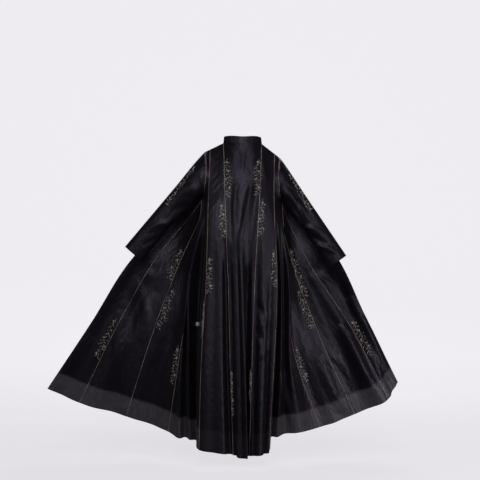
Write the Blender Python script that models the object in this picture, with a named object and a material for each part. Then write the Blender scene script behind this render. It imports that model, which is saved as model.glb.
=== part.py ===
# Open-front abaya cloak in its worn shape, with the arms out and both front edges drawn to the sides.
# Metres, +Z up. The origin is the centre back neck seam, and the back faces -Y.
# Every panel, sleeve and braid is a wall on one shared cloth surface, so neighbours meet along one seam.
import math

import bpy
import numpy as np

for old in list(bpy.data.objects):
    bpy.data.objects.remove(old, do_unlink=True)

# Cloth and sewing sizes. The hem's depth is a share of the length; its turned-up cloth doubles the wall.
WALL = 0.0014
SEAM_GAP = 0.0003
SLEEVE_GAP = 0.0008
HEM_DEPTH = 0.075
HEM_STEP = 0.003
SINGLE_LAYER, DOUBLE_LAYER = 0.5, 1.5
TRIM_WIDTH = 0.0032
TRIM_HEIGHT = 0.0009
TRIM_LIFT = 0.0006
TRIM_START = 0.0026
TRIM_STOP = 0.001
SMOOTH_ANGLE = math.radians(50)

# Levels down each seam, as shares of its length from shoulder to hem
UNDERARM, HAND, KNEE, HEM = 0.16, 0.46, 0.70, 1.0
LEVELS = (0.0, UNDERARM, HAND, KNEE, HEM)
ARMHOLE_ROWS = 7
BODY_ROWS = 12
SHOULDER_BLEND = 0.08
NECK_ROUNDING = 0.060
NECK_FADE = 0.14
TOP_SLOPE = 2.0
EDGE_TOP_SLOPE = 2.2
SIDE_BLEND = 0.14
MOST_LEAN = 0.55
FOLD_RISE = 0.22
FOLD_START = 0.55

# Neck and shoulders, left and right as seen from behind
NAPE = (0.000, 0.000, 0.000)
NECK_POINT = {"left": (-0.092, 0.045, 0.003), "right": (0.093, 0.045, -0.001)}
SHOULDER_TIP = {"left": (-0.182, 0.050, -0.040), "right": (0.182, 0.050, -0.070)}
FRONT_NECK = {"left": (-0.060, 0.128, -0.046), "right": (0.060, 0.128, -0.049)}
ARMHOLE_REACH = {-1.0: 0.064, 1.0: 0.046}
ARMHOLE_SCOOP = 0.014
UNDERARM_PLAN = {"left": (-0.195, 0.050), "right": (0.191, 0.050)}
BACK_SEAM_PLAN = {"left": (-0.160, -0.040), "right": (0.149, -0.040)}
COLLAR_HEIGHT = 0.034
COLLAR_GAP = 0.0014
COLLAR_LEAN = 0.12

# Sleeves: upper and lower end of the cuff, and the sizes across the arm
CUFF_TOP = {"left": (-0.566, 0.062, -0.495), "right": (0.500, 0.062, -0.538)}
CUFF_BOTTOM = {"left": (-0.482, 0.062, -0.566), "right": (0.408, 0.062, -0.600)}
CUFF_THICKNESS = 0.060
ELBOW_THICKNESS = 0.085
SLEEVE_BOW = 0.020
SLEEVE_RINGS = 13
ARMHOLE_BLEND = 0.35
WIDE_ROOT = 0.5


def shoulder(side, share):
    """A point on the straight shoulder seam, from the neck point to the tip."""
    neck, tip = np.array(NECK_POINT[side]), np.array(SHOULDER_TIP[side])
    return tuple(neck + (tip - neck) * share)


def underarm(side, share):
    """A plan point at underarm level, from the side seam (0) to the outer back seam (1)."""
    seam, back = np.array(UNDERARM_PLAN[side]), np.array(BACK_SEAM_PLAN[side])
    return tuple(seam + (back - seam) * share)


# Long seams and the deep side folds, from the left front edge round the back to the right one.
# Columns: name, top point, then x and y at underarm, hand, knee and hem level, and the height of the hem.
LINES = (
    ("edge_left", FRONT_NECK["left"], (-0.235, 0.188), (-0.560, 0.150), (-0.735, 0.175),
     (-0.965, 0.200), -1.196),
    ("front_inner_left", shoulder("left", 0.0), (-0.165, 0.185), (-0.445, 0.165), (-0.617, 0.170),
     (-0.807, 0.200), -1.265),
    ("front_outer_left", shoulder("left", 0.69), (-0.172, 0.140), (-0.330, 0.140), (-0.445, 0.130),
     (-0.571, 0.160), -1.327),
    ("side_left", shoulder("left", 1.0), underarm("left", 0.0), (-0.243, 0.045), (-0.298, 0.070),
     (-0.360, 0.095), -1.391),
    ("ridge_low_left", shoulder("left", 0.93), underarm("left", 0.2), (-0.264, 0.026), (-0.288, 0.022),
     (-0.302, 0.010), -1.410),
    ("valley_low_left", shoulder("left", 0.87), underarm("left", 0.4), (-0.240, 0.014), (-0.271, 0.046),
     (-0.276, 0.048), -1.410),
    ("ridge_high_left", shoulder("left", 0.81), underarm("left", 0.6), (-0.255, -0.015), (-0.259, -0.018),
     (-0.250, -0.022), -1.412),
    ("valley_high_left", shoulder("left", 0.75), underarm("left", 0.8), (-0.203, 0.020), (-0.220, 0.022),
     (-0.224, 0.022), -1.420),
    ("back_outer_left", shoulder("left", 0.69), underarm("left", 1.0), (-0.172, -0.085), (-0.190, -0.110),
     (-0.202, -0.130), -1.440),
    ("back_inner_left", shoulder("left", 0.0), (-0.084, -0.055), (-0.068, -0.095), (-0.060, -0.125),
     (-0.046, -0.150), -1.462),
    ("back_middle", NAPE, (-0.001, -0.062), (-0.005, -0.105), (-0.007, -0.135), (-0.006, -0.160), -1.474),
    ("back_inner_right", shoulder("right", 0.0), (0.082, -0.055), (0.057, -0.095), (0.044, -0.120),
     (0.035, -0.145), -1.467),
    ("back_outer_right", shoulder("right", 0.69), underarm("right", 1.0), (0.159, -0.085), (0.142, -0.110),
     (0.117, -0.125), -1.454),
    ("valley_high_right", shoulder("right", 0.75), underarm("right", 0.8), (0.168, 0.012), (0.160, 0.012),
     (0.138, 0.025), -1.405),
    ("ridge_high_right", shoulder("right", 0.81), underarm("right", 0.6), (0.184, -0.018), (0.182, -0.025),
     (0.165, -0.015), -1.400),
    ("valley_low_right", shoulder("right", 0.87), underarm("right", 0.4), (0.194, 0.010), (0.197, 0.015),
     (0.205, 0.040), -1.392),
    ("ridge_low_right", shoulder("right", 0.93), underarm("right", 0.2), (0.222, -0.006), (0.224, -0.002),
     (0.262, 0.025), -1.386),
    ("side_right", shoulder("right", 1.0), underarm("right", 0.0), (0.213, 0.050), (0.243, 0.065),
     (0.377, 0.120), -1.373),
    ("front_outer_right", shoulder("right", 0.69), (0.170, 0.140), (0.262, 0.140), (0.379, 0.130),
     (0.554, 0.180), -1.319),
    ("front_inner_right", shoulder("right", 0.0), (0.162, 0.185), (0.327, 0.165), (0.522, 0.170),
     (0.722, 0.200), -1.246),
    ("edge_right", FRONT_NECK["right"], (0.225, 0.188), (0.476, 0.140), (0.605, 0.180),
     (0.778, 0.260), -1.170),
)
LINE_NAMES = [line[0] for line in LINES]
STRETCHES = (("edge_left", "side_left"), ("side_left", "side_right"), ("side_right", "edge_right"))

# Soft folds on the panels, raised along the cloth's normal.
# Columns: line it is measured from, place past that line at its top and foot (1 is the next line),
# first and last level, height (below zero is a trough) and half width in the same shares.
FOLDS = (
    ("back_inner_left", 0.14, 0.20, 0.30, 1.00, -0.022, 0.26),
    ("back_inner_left", 0.56, 0.70, 0.10, 1.00, 0.006, 0.36),
    ("back_inner_left", 0.84, 1.42, 0.22, 1.00, 0.030, 0.30),
    ("back_inner_left", 1.46, 1.80, 0.28, 1.00, -0.042, 0.34),
    ("back_outer_left", 0.20, 0.24, 0.28, 1.00, 0.006, 0.30),
    ("back_outer_left", 0.40, 0.42, 0.30, 1.00, -0.004, 0.24),
    ("back_outer_left", 0.64, 0.66, 0.24, 1.00, 0.010, 0.28),
    ("back_outer_left", 0.88, 0.90, 0.26, 1.00, -0.032, 0.20),
    ("back_inner_right", 0.32, 0.48, 0.24, 1.00, 0.028, 0.32),
    ("back_inner_right", 0.62, 0.80, 0.34, 1.00, -0.010, 0.20),
    ("back_inner_right", 0.88, 0.94, 0.20, 1.00, 0.010, 0.18),
    ("front_inner_left", 0.05, 0.68, 0.40, 1.00, -0.012, 0.30),
    ("front_inner_left", 0.50, 0.30, 0.50, 1.00, 0.010, 0.30),
    ("front_outer_left", 0.45, 0.50, 0.34, 1.00, -0.014, 0.34),
    ("edge_left", 0.50, 0.45, 0.36, 1.00, -0.010, 0.40),
    ("side_right", 0.50, 0.40, 0.45, 1.00, 0.012, 0.30),
    ("front_outer_right", 0.50, 0.35, 0.34, 1.00, -0.012, 0.32),
    ("front_outer_right", 0.85, 0.78, 0.45, 1.00, 0.012, 0.26),
    ("front_inner_right", 0.50, 0.45, 0.36, 1.00, -0.012, 0.36),
)

# Panels: name, first and last line, and the number of strips across between two lines
PANELS = (
    ("front_edge_left", "edge_left", "front_inner_left", 5),
    ("front_side_left", "front_inner_left", "front_outer_left", 6),
    ("underarm_front_left", "front_outer_left", "side_left", 5),
    ("underarm_back_left", "side_left", "back_outer_left", 3),
    ("back_side_left", "back_outer_left", "back_inner_left", 8),
    ("back_centre", "back_inner_left", "back_inner_right", 7),
    ("back_side_right", "back_inner_right", "back_outer_right", 8),
    ("underarm_back_right", "back_outer_right", "side_right", 3),
    ("underarm_front_right", "side_right", "front_outer_right", 5),
    ("front_side_right", "front_outer_right", "front_inner_right", 6),
    ("front_edge_right", "front_inner_right", "edge_right", 5),
)


def unit(vectors):
    """Vectors scaled to length one."""
    lengths = np.linalg.norm(vectors, axis=-1, keepdims=True)
    return vectors / np.maximum(lengths, 1e-12)


def ease(share):
    """A smooth rise from 0 to 1."""
    share = np.clip(share, 0.0, 1.0)
    return share * share * (3.0 - 2.0 * share)


def smooth_curve(knots, points, places, first_slope=1.0):
    """A smooth curve through points at knots, read at places."""
    knots, points, places = np.asarray(knots), np.asarray(points), np.asarray(places)
    spans = np.diff(knots)
    slopes = np.diff(points, axis=0) / spans[:, None]
    tangents = np.empty_like(points)
    tangents[0], tangents[-1] = slopes[0] * first_slope, slopes[-1]
    weight = spans[:, None]
    tangents[1:-1] = (slopes[:-1] * weight[1:] + slopes[1:] * weight[:-1]) / (weight[1:] + weight[:-1])
    index = np.clip(np.searchsorted(knots, places, side="right") - 1, 0, len(spans) - 1)
    span = spans[index][:, None]
    t = (places - knots[index])[:, None] / span
    rise = t * t * (3.0 - 2.0 * t)
    leave = t * (1.0 - t) ** 2
    arrive = t * t * (t - 1.0)
    start, end = points[index], points[index + 1]
    return start + (end - start) * rise + (tangents[index] * leave + tangents[index + 1] * arrive) * span


def line_points(rows):
    """Every seam and deep fold line at each row: an array of rows by lines by three."""
    lines = []
    for name, top, *stations, hem_height in LINES:
        plan = np.array([top[:2], *stations])
        across = smooth_curve(LEVELS, plan, rows, EDGE_TOP_SLOPE if name.startswith("edge") else TOP_SLOPE)
        height = top[2] + (hem_height - top[2]) * rows
        lines.append(np.column_stack([across, height]))
    return np.stack(lines, axis=1)


def armhole_edge(side, rows, facing):
    """The armhole from the shoulder tip to the underarm, along its back (-1) or its front (+1)."""
    line = LINES[LINE_NAMES.index(f"side_{side}")]
    tip = np.array(SHOULDER_TIP[side])
    foot = np.array([*line[2], tip[2] + (line[-1] - tip[2]) * UNDERARM])
    inward = -1.0 if side == "right" else 1.0
    turn = math.pi * rows / UNDERARM
    edge = (tip + foot) / 2 + np.outer(np.cos(turn), (tip - foot) / 2)
    edge[:, 0] += inward * ARMHOLE_SCOOP * np.sin(turn)
    edge[:, 1] += facing * ARMHOLE_REACH[facing] * np.sin(turn)
    return edge


def cloth_strip(first, last, steps, rows):
    """The cloth between two lines, with its armhole edges: points, and the place of each column."""
    lines = line_points(rows)
    low, high = LINE_NAMES.index(first), LINE_NAMES.index(last)
    armhole = rows <= UNDERARM + 1e-9
    facing = -1.0 if first == "side_left" else 1.0
    for name in (first, last):
        if name.startswith("side"):
            side = name.split("_")[1]
            seam, back = LINE_NAMES.index(name), LINE_NAMES.index(f"back_outer_{side}")
            lines[armhole, seam] = armhole_edge(side, rows[armhole], facing)
            for line in range(min(seam, back) + 1, max(seam, back)):
                share = (line - seam) / (back - seam)
                lines[armhole, line] = lines[armhole, seam] * (1 - share) + lines[armhole, back] * share
    places = np.concatenate([low + i + np.arange(n) / n for i, n in enumerate(steps)] + [[high]])
    wide_low, wide_high = max(low - 1, 0), min(high + 1, len(LINES) - 1)
    grid = np.empty((len(rows), len(places), 3))
    for r, row in enumerate(rows):
        alone, straight = across_lines(lines[r], low, high, places)
        joined, _ = across_lines(lines[r], wide_low, wide_high, places)
        curved = alone + (joined - alone) * ease((row - UNDERARM) / SIDE_BLEND)
        on_shoulder = shoulder_share(places) * (1.0 - ease(row / SHOULDER_BLEND))
        grid[r] = curved + (straight - curved) * on_shoulder[:, None]
        grid[r, :, 1] -= neck_bulge(places, row)
    return grid, places


def neck_bulge(places, row):
    """How far back the nape is rounded out between the neck points."""
    share = 1.0 - np.clip(np.abs(places - LINE_NAMES.index("back_middle")), 0.0, 1.0)
    return NECK_ROUNDING * share * (1.0 - share) ** 2 * (1.0 - ease(row / NECK_FADE))


def across_lines(lines, start, stop, places):
    """One row of cloth read between its lines, on a smooth curve and on straight runs."""
    section = lines[start:stop + 1]
    chords = np.linalg.norm(np.diff(section, axis=0), axis=1)
    knots = np.concatenate([[0.0], np.cumsum(np.sqrt(chords))])
    read = np.interp(places, np.arange(start, stop + 1), knots)
    straight = np.column_stack([np.interp(read, knots, section[:, k]) for k in range(3)])
    return smooth_curve(knots, section, read), straight


def shoulder_share(places):
    """1 on the columns that end at a shoulder seam, 0 on those that end at the neck."""
    neck = ("edge_left", "back_inner_left", "back_middle", "front_inner_right")
    share = np.ones(len(places))
    for name in neck:
        low = LINE_NAMES.index(name)
        share[(places > low) & (places < low + 1)] = 0.0
    return share


def directions(grid, axis):
    """The direction of the grid at each point along one axis, halfway between those of its two spans."""
    spans = unit(np.diff(grid, axis=axis))
    first, last = (spans[:1], spans[-1:]) if axis == 0 else (spans[:, :1], spans[:, -1:])
    before, after = np.concatenate([first, spans], axis=axis), np.concatenate([spans, last], axis=axis)
    return unit(before + after)


def normals_of(grid):
    """Outward normals of a grid of rows and columns."""
    return unit(np.cross(directions(grid, 0), directions(grid, 1)))


def fold_spread(grid, normals):
    """How much further a point on a sharp fold is moved, so that the wall keeps its thickness there."""
    down = directions(grid, 0)
    spans = np.diff(grid, axis=1)
    cosine = np.ones(grid.shape[:2])
    for columns in (slice(None, -1), slice(1, None)):
        faces = unit(np.cross(down[:, columns], spans))
        lean = np.sum(faces * normals[:, columns], axis=-1)
        cosine[:, columns] = np.minimum(cosine[:, columns], lean)
    return 1.0 / np.clip(cosine, MOST_LEAN, 1.0)


def fold_heights(rows, places):
    """How far the soft folds lift each point of the cloth."""
    lift = np.zeros((len(rows), len(places)))
    for name, top, foot, start, end, height, half_width in FOLDS:
        share = np.clip((rows - start) / (end - start), 0.0, 1.0)
        centre = LINE_NAMES.index(name) + top + (foot - top) * share
        growth = ease((rows - start) / FOLD_RISE) * (FOLD_START + (1.0 - FOLD_START) * share)
        offset = np.clip(np.abs(places[None, :] - centre[:, None]) / half_width, 0.0, 1.0)
        lift += height * growth[:, None] * np.cos(offset * math.pi / 2) ** 2
    return lift


def cloth_rows():
    """The levels of the rows, closer round the armhole and at the turned-up hem."""
    armhole = np.linspace(0.0, UNDERARM, ARMHOLE_ROWS)
    body = np.linspace(UNDERARM, HEM - HEM_DEPTH, BODY_ROWS)[1:]
    hem = [HEM - HEM_DEPTH + HEM_STEP, HEM]
    return np.concatenate([armhole, body, hem])


def steps_between(first, last):
    """The strips across for each pair of neighbouring lines."""
    steps = []
    for _, start, end, count in PANELS:
        low, high = LINE_NAMES.index(start), LINE_NAMES.index(end)
        if LINE_NAMES.index(first) <= low and high <= LINE_NAMES.index(last):
            steps += [count] * (high - low)
    return steps


def sleeve_grid(side, rows):
    """The sleeve from the armhole to the cuff: rings down the arm by points round it."""
    armhole = rows[rows <= UNDERARM + 1e-9]
    back = armhole_edge(side, armhole, -1.0)
    front = armhole_edge(side, armhole, 1.0)
    corners = np.vstack([back, front[-2:0:-1]])
    ring = np.empty((2 * len(corners), 3))
    ring[0::2] = corners
    ring[1::2] = (corners + np.roll(corners, -1, axis=0)) / 2
    tip, foot = corners[0], back[-1]
    cuff_top, cuff_bottom = np.array(CUFF_TOP[side]), np.array(CUFF_BOTTOM[side])
    turn = 2 * math.pi * np.arange(len(ring)) / len(ring)
    grid = []
    for down in np.linspace(0.0, 1.0, SLEEVE_RINGS):
        upper = tip + (cuff_top - tip) * down
        lower = foot + (cuff_bottom - foot) * down
        lower = lower + np.array([0.0, 0.0, SLEEVE_BOW * math.sin(math.pi * down)])
        thickness = ELBOW_THICKNESS + (CUFF_THICKNESS - ELBOW_THICKNESS) * down
        root = 1.0 - ease(down / WIDE_ROOT)
        thickness += (sum(ARMHOLE_REACH.values()) - ELBOW_THICKNESS) * root
        centre, across = (upper + lower) / 2, (upper - lower) / 2
        oval = centre + np.outer(np.cos(turn), across)
        oval[:, 1] += (ARMHOLE_REACH[1.0] - ARMHOLE_REACH[-1.0]) / 2 * root - np.sin(turn) * thickness / 2
        moved = ring + (centre - (tip + foot) / 2)
        grid.append(moved + (oval - moved) * ease(down / ARMHOLE_BLEND))
    return np.array(grid)


def tube_normals(grid, side):
    """Outward normals of a grid that closes on itself round its columns."""
    wrapped = np.concatenate([grid[:, -1:], grid, grid[:, :1]], axis=1)
    normals = normals_of(wrapped)[:, 1:-1]
    return normals if side == "left" else -normals


def wall_mesh(name, outer, inner, closed=False):
    """One closed wall from its outer and inner points, open at its rims or wrapped round as a tube."""
    rows, columns = outer.shape[:2]
    vertices = [tuple(p) for p in outer.reshape(-1, 3)] + [tuple(p) for p in inner.reshape(-1, 3)]
    shift = rows * columns
    faces = []
    for r in range(rows - 1):
        for c in range(columns if closed else columns - 1):
            d = (c + 1) % columns
            a, b, e, f = r * columns + c, r * columns + d, (r + 1) * columns + d, (r + 1) * columns + c
            points = [np.array(vertices[i]) for i in (a, b, e, f)]
            one_way = np.linalg.norm(points[0] - points[2]) <= np.linalg.norm(points[1] - points[3])
            for x, y, z in (((a, f, e), (a, e, b)) if one_way else ((a, f, b), (b, f, e))):
                faces.append((x, y, z))
                faces.append((z + shift, y + shift, x + shift))
    for c in range(columns if closed else columns - 1):
        d = (c + 1) % columns
        low, high = (rows - 1) * columns + c, (rows - 1) * columns + d
        faces.append((c, d, d + shift, c + shift))
        faces.append((low, low + shift, high + shift, high))
    if not closed:
        for r in range(rows - 1):
            a, b = r * columns, (r + 1) * columns
            faces.append((a, a + shift, b + shift, b))
            a, b = a + columns - 1, b + columns - 1
            faces.append((a, b, b + shift, a + shift))
    mesh = bpy.data.meshes.new(name)
    mesh.from_pydata(vertices, [], faces)
    mesh.update()
    return mesh


def material(name, colour, roughness, sheen=0.0):
    """A plain finish for one piece."""
    finish = bpy.data.materials.new(name)
    finish.use_nodes = True
    shader = finish.node_tree.nodes["Principled BSDF"]
    shader.inputs["Base Color"].default_value = (*colour, 1.0)
    shader.inputs["Roughness"].default_value = roughness
    shader.inputs["Sheen Weight"].default_value = sheen
    return finish


cloak = bpy.data.collections.new("abaya_cloak")
bpy.context.scene.collection.children.link(cloak)
SATIN = material("black_satin", (0.012, 0.010, 0.014), 0.42, 0.3)
BRAID = material("gold_braid", (0.42, 0.34, 0.26), 0.35)


def add_piece(name, mesh, finish):
    """One sewn piece as its own object, facing outwards and shaded smooth."""
    piece = bpy.data.objects.new(name, mesh)
    cloak.objects.link(piece)
    mesh.materials.append(finish)
    mesh.shade_smooth()
    mesh.set_sharp_from_angle(angle=SMOOTH_ANGLE)
    return piece


def pull_in(grid, gap):
    """The grid with all four edges drawn in along the cloth, half a seam gap each."""
    trimmed = grid.copy()
    trimmed[:, 0] += unit(grid[:, 1] - grid[:, 0]) * gap
    trimmed[:, -1] += unit(grid[:, -2] - grid[:, -1]) * gap
    trimmed[0] += unit(grid[1] - grid[0]) * gap
    return trimmed


def make_cloth():
    """The three stretches of cloth and both sleeves, with one shared normal wherever two of them meet."""
    rows = cloth_rows()
    stretches = {}
    for first, last in STRETCHES:
        grid, places = cloth_strip(first, last, steps_between(first, last), rows)
        grid = grid + normals_of(grid) * fold_heights(rows, places)[:, :, None]
        stretches[first] = [grid, normals_of(grid), places]
    sleeves = {}
    for side in ("left", "right"):
        grid = sleeve_grid(side, rows)
        sleeves[side] = [grid, tube_normals(grid, side)]
        share_side_normals(side, stretches, sleeves[side][1])
    for _, normals, places in stretches.values():
        share_shoulder_normals(normals, places)
    return rows, stretches, sleeves


def share_side_normals(side, stretches, tube):
    """One normal for front, back and sleeve at each point of the armhole, and one down the side seam."""
    under = ARMHOLE_ROWS - 1
    first, second = ("edge_left", "side_left") if side == "left" else ("side_left", "side_right")
    one, two = stretches[first][1], stretches[second][1]
    one[under + 1:, -1] = two[under + 1:, 0] = unit(one[under + 1:, -1] + two[under + 1:, 0])
    one[:under + 1, -1], two[:under + 1, 0] = one[:under + 1, -2], two[:under + 1, 1]
    back, front = (two[:, 0], one[:, -1]) if side == "left" else (one[:, -1], two[:, 0])
    for r in range(1, under):
        behind, ahead = 2 * r, -2 * r
        back[r] = tube[0, behind] = unit(back[r] + tube[0, behind])
        front[r] = tube[0, ahead] = unit(front[r] + tube[0, ahead])
    back[0] = front[0] = tube[0, 0] = unit(shoulder_normal(side) + tube[0, 0])
    foot = 2 * under
    back[under] = front[under] = tube[0, foot] = unit(unit(back[under] + front[under]) + tube[0, foot])
    tube[0, 1::2] = unit(tube[0, 0::2] + np.roll(tube[0, 0::2], -1, axis=0))


def share_shoulder_normals(normals, places):
    """One normal for front and back along each shoulder seam."""
    ends = [LINE_NAMES.index(name) for name in ("edge_left", "side_left", "side_right", "edge_right")]
    for c in np.flatnonzero(shoulder_share(places) > 0.5):
        side = "left" if places[c] < LINE_NAMES.index("back_middle") else "right"
        if places[c] not in ends:
            normals[0, c] = shoulder_normal(side)


def shoulder_normal(side):
    """The upward normal of the shoulder seam."""
    seam = np.array(SHOULDER_TIP[side]) - np.array(NECK_POINT[side])
    upward = np.cross(seam, (0.0, 1.0, 0.0))
    return unit(upward if upward[2] > 0 else -upward)


def panel_grids(panel, stretches):
    """Points and normals of one panel."""
    _, first, last, _ = panel
    low, high = LINE_NAMES.index(first), LINE_NAMES.index(last)
    for grid, normals, places in stretches.values():
        if places[0] <= low and high <= places[-1]:
            start, stop = int(np.argmin(np.abs(places - low))), int(np.argmin(np.abs(places - high)))
            return grid[:, start:stop + 1], normals[:, start:stop + 1]
    raise ValueError(panel[0])


rows, stretches, sleeves = make_cloth()
for panel in PANELS:
    grid, normals = panel_grids(panel, stretches)
    spread = fold_spread(grid, normals)
    spread[:, [0, -1]] = 1.0
    offset = normals * spread[:, :, None] * WALL
    grid = pull_in(grid, SEAM_GAP / 2)
    layers = np.where(rows > HEM - HEM_DEPTH + HEM_STEP / 2, DOUBLE_LAYER, SINGLE_LAYER)[:, None, None]
    mesh = wall_mesh(panel[0], grid + offset * SINGLE_LAYER, grid - offset * layers)
    add_piece(panel[0], mesh, SATIN)
for side, (grid, normals) in sleeves.items():
    tube = grid.copy()
    tube[0] += unit(grid[1] - grid[0]) * SLEEVE_GAP
    outer, inner = tube + normals * WALL / 2, tube - normals * WALL / 2
    if side == "right":
        outer, inner = outer[:, ::-1], inner[:, ::-1]
    add_piece(f"sleeve_{side}", wall_mesh(f"sleeve_{side}", outer, inner, closed=True), SATIN)


def strip_mesh(name, left, centre, right, normals):
    """A narrow braid that follows the cloth underneath and is crowned over the seam."""
    low = WALL / 2 + TRIM_LIFT
    high = low + TRIM_HEIGHT
    loop = (
        left[0] + left[1] * low,
        left[0] + left[1] * (low + TRIM_HEIGHT / 2),
        centre + normals * high,
        right[0] + right[1] * (low + TRIM_HEIGHT / 2),
        right[0] + right[1] * low,
        centre + normals * low,
    )
    vertices = [tuple(p) for ring in zip(*loop) for p in ring]
    count, rings = len(loop), len(centre)
    faces = [tuple(range(count)), tuple(reversed(range((rings - 1) * count, rings * count)))]
    for r in range(rings - 1):
        for c in range(count):
            d = (c + 1) % count
            faces.append((r * count + d, r * count + c, (r + 1) * count + c, (r + 1) * count + d))
    mesh = bpy.data.meshes.new(name)
    mesh.from_pydata(vertices, [], faces)
    mesh.update()
    return mesh


def add_trim(name, centre, normals, left, left_normals, right, right_normals):
    """A braid along a seam, from the seam's points and those of the cloth on either side of it."""
    centre, normals = centre.copy(), normals.copy()
    sides = []
    for near, near_normals in ((left, left_normals), (right, right_normals)):
        reach = near - centre
        share = TRIM_WIDTH / 2 / np.linalg.norm(reach, axis=-1, keepdims=True)
        sides.append([centre + reach * share, unit(normals + (near_normals - normals) * share)])
    for points in (centre, sides[0][0], sides[1][0]):
        start, stop = unit(centre[1] - centre[0]), unit(centre[-2] - centre[-1])
        points[0] += start * TRIM_START
        points[-1] += stop * TRIM_STOP
    add_piece(name, strip_mesh(name, sides[0], centre, sides[1], normals), BRAID)


def seam_trims():
    """A braid over every long seam."""
    for name in LINE_NAMES:
        kind, side = name.rsplit("_", 1)
        if kind not in ("front_inner", "front_outer", "side", "back_outer", "back_inner"):
            continue
        place = LINE_NAMES.index(name)
        found = [s for s in stretches.values() if s[2][0] <= place <= s[2][-1]]
        if kind == "side":
            one, two = found
            grid = np.stack([one[0][:, -2], one[0][:, -1], two[0][:, 1]], axis=1)
            normals = np.stack([one[1][:, -2], one[1][:, -1], two[1][:, 1]], axis=1)
            first = ARMHOLE_ROWS - 1
        else:
            column = int(np.argmin(np.abs(found[0][2] - place)))
            grid = found[0][0][:, column - 1:column + 2]
            normals = found[0][1][:, column - 1:column + 2]
            first = 0
        grid, normals = grid[first:], normals[first:]
        left, centre, right = (grid[:, k] for k in range(3))
        left_facing, facing, right_facing = (normals[:, k] for k in range(3))
        add_trim(f"trim_{name}", centre, facing, left, left_facing, right, right_facing)


def armhole_and_sleeve_trims():
    """A braid over each shoulder seam, round the top of each armhole and down each sleeve."""
    ring = 2 * (ARMHOLE_ROWS - 1)
    for side in ("left", "right"):
        neck, tip = np.array(NECK_POINT[side]), np.array(SHOULDER_TIP[side])
        along, upward = unit(tip - neck), shoulder_normal(side)
        ends = np.array([neck, tip - along * TRIM_START])
        across = np.array([0.0, -TRIM_WIDTH if side == "left" else TRIM_WIDTH, 0.0])
        up = np.array([upward, upward])
        add_trim(f"trim_shoulder_{side}", ends, up, ends - across, up, ends + across, up)
        grid, normals = sleeves[side]
        turn = -1 if side == "left" else 1
        top, edge = grid[:, 0], (grid[:, turn], grid[:, -turn])
        beside = (normals[:, turn], normals[:, -turn])
        add_trim(f"trim_sleeve_{side}", top, normals[:, 0], edge[0], beside[0], edge[1], beside[1])
        round_top = np.arange(-ring + 3, ring - 2)
        front = stretches["edge_left" if side == "left" else "side_right"]
        back = stretches["side_left"]
        back_column, front_column = (1, -2) if side == "left" else (-2, 1)
        inner, inner_normals = [], []
        for k in round_top:
            (points, facing, _), column = (back, back_column) if k >= 0 else (front, front_column)
            low, high = abs(k) // 2, (abs(k) + 1) // 2
            inner.append((points[low, column] + points[high, column]) / 2)
            inner_normals.append((facing[low, column] + facing[high, column]) / 2)
        inner, inner_normals = np.array(inner), unit(np.array(inner_normals))
        sides = [(grid[1, round_top], normals[1, round_top]), (inner, inner_normals)]
        if side == "right":
            sides.reverse()
        add_trim(f"trim_armhole_{side}", grid[0, round_top], normals[0, round_top], *sides[0], *sides[1])


def neckline():
    """The neck seam from the left front corner round the back to the right one."""
    ring = []
    for first, last in (("edge_left", "front_inner_left"), ("back_inner_left", "back_inner_right"),
                        ("front_inner_right", "edge_right")):
        low, high = LINE_NAMES.index(first), LINE_NAMES.index(last)
        for grid, _, places in stretches.values():
            if places[0] <= low and high <= places[-1]:
                start, stop = int(np.argmin(np.abs(places - low))), int(np.argmin(np.abs(places - high)))
                ring += list(grid[0, start:stop + 1] if not ring else grid[0, start + 1:stop + 1])
    return np.array(ring)


def add_collar():
    """The low stand collar on the neck seam, open at the front."""
    ring = neckline()
    along = np.gradient(ring, axis=0)
    outward = unit(np.cross((0.0, 0.0, -1.0), along))
    levels = np.linspace(0.0, COLLAR_HEIGHT, 3)
    rise = np.array([0.0, 0.0, 1.0]) - outward * COLLAR_LEAN
    grid = np.array([ring + (0.0, 0.0, COLLAR_GAP) + rise * level for level in levels[::-1]])
    mesh = wall_mesh("collar", grid + outward * WALL / 2, grid - outward * WALL / 2)
    add_piece("collar", mesh, SATIN)


seam_trims()
armhole_and_sleeve_trims()
add_collar()
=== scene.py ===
# Open-front abaya cloak of black satin organza, with braided seams and sprays of small beads.
# It hangs in its worn shape, and is seen from behind, with both fronts drawn out to the sides.
# Metres, +Z up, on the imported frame: the origin is the back neck seam, and the back faces -Y.
import math
import random

import bpy
import numpy as np
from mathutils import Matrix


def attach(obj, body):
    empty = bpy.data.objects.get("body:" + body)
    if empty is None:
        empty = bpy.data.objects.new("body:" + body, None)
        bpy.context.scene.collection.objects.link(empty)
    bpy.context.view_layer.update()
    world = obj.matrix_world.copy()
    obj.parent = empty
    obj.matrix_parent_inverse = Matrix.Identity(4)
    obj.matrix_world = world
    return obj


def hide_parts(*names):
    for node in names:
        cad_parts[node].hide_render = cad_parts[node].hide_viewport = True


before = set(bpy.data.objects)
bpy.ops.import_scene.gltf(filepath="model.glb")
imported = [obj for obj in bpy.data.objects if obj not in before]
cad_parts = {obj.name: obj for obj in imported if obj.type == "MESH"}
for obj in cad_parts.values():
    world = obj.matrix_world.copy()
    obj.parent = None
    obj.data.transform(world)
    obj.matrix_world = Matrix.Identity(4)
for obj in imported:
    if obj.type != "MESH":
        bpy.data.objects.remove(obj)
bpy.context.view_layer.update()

# Body cloth
# Eleven long flared panels of satin organza, cut narrow at the neck and shoulders and wide at the hem.
# The lines are the seams and the deep folds at the underarms; the soft folds fall between them.
WALL = 0.0010
SEAM_GAP = 0.0003
HEM_DEPTH = 0.075
UNDERARM, HIP, KNEE, HEM = 0.16, 0.46, 0.70, 1.0
LEVELS = (0.0, UNDERARM, HIP, KNEE, HEM)
ARMHOLE_ROWS = 21
BODY_ROWS = 104
HEM_ROWS = 9
HEM_EDGE = 0.9965
SHOULDER_BLEND = 0.08
NECK_ROUNDING = 0.060
NECK_FADE = 0.14
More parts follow.
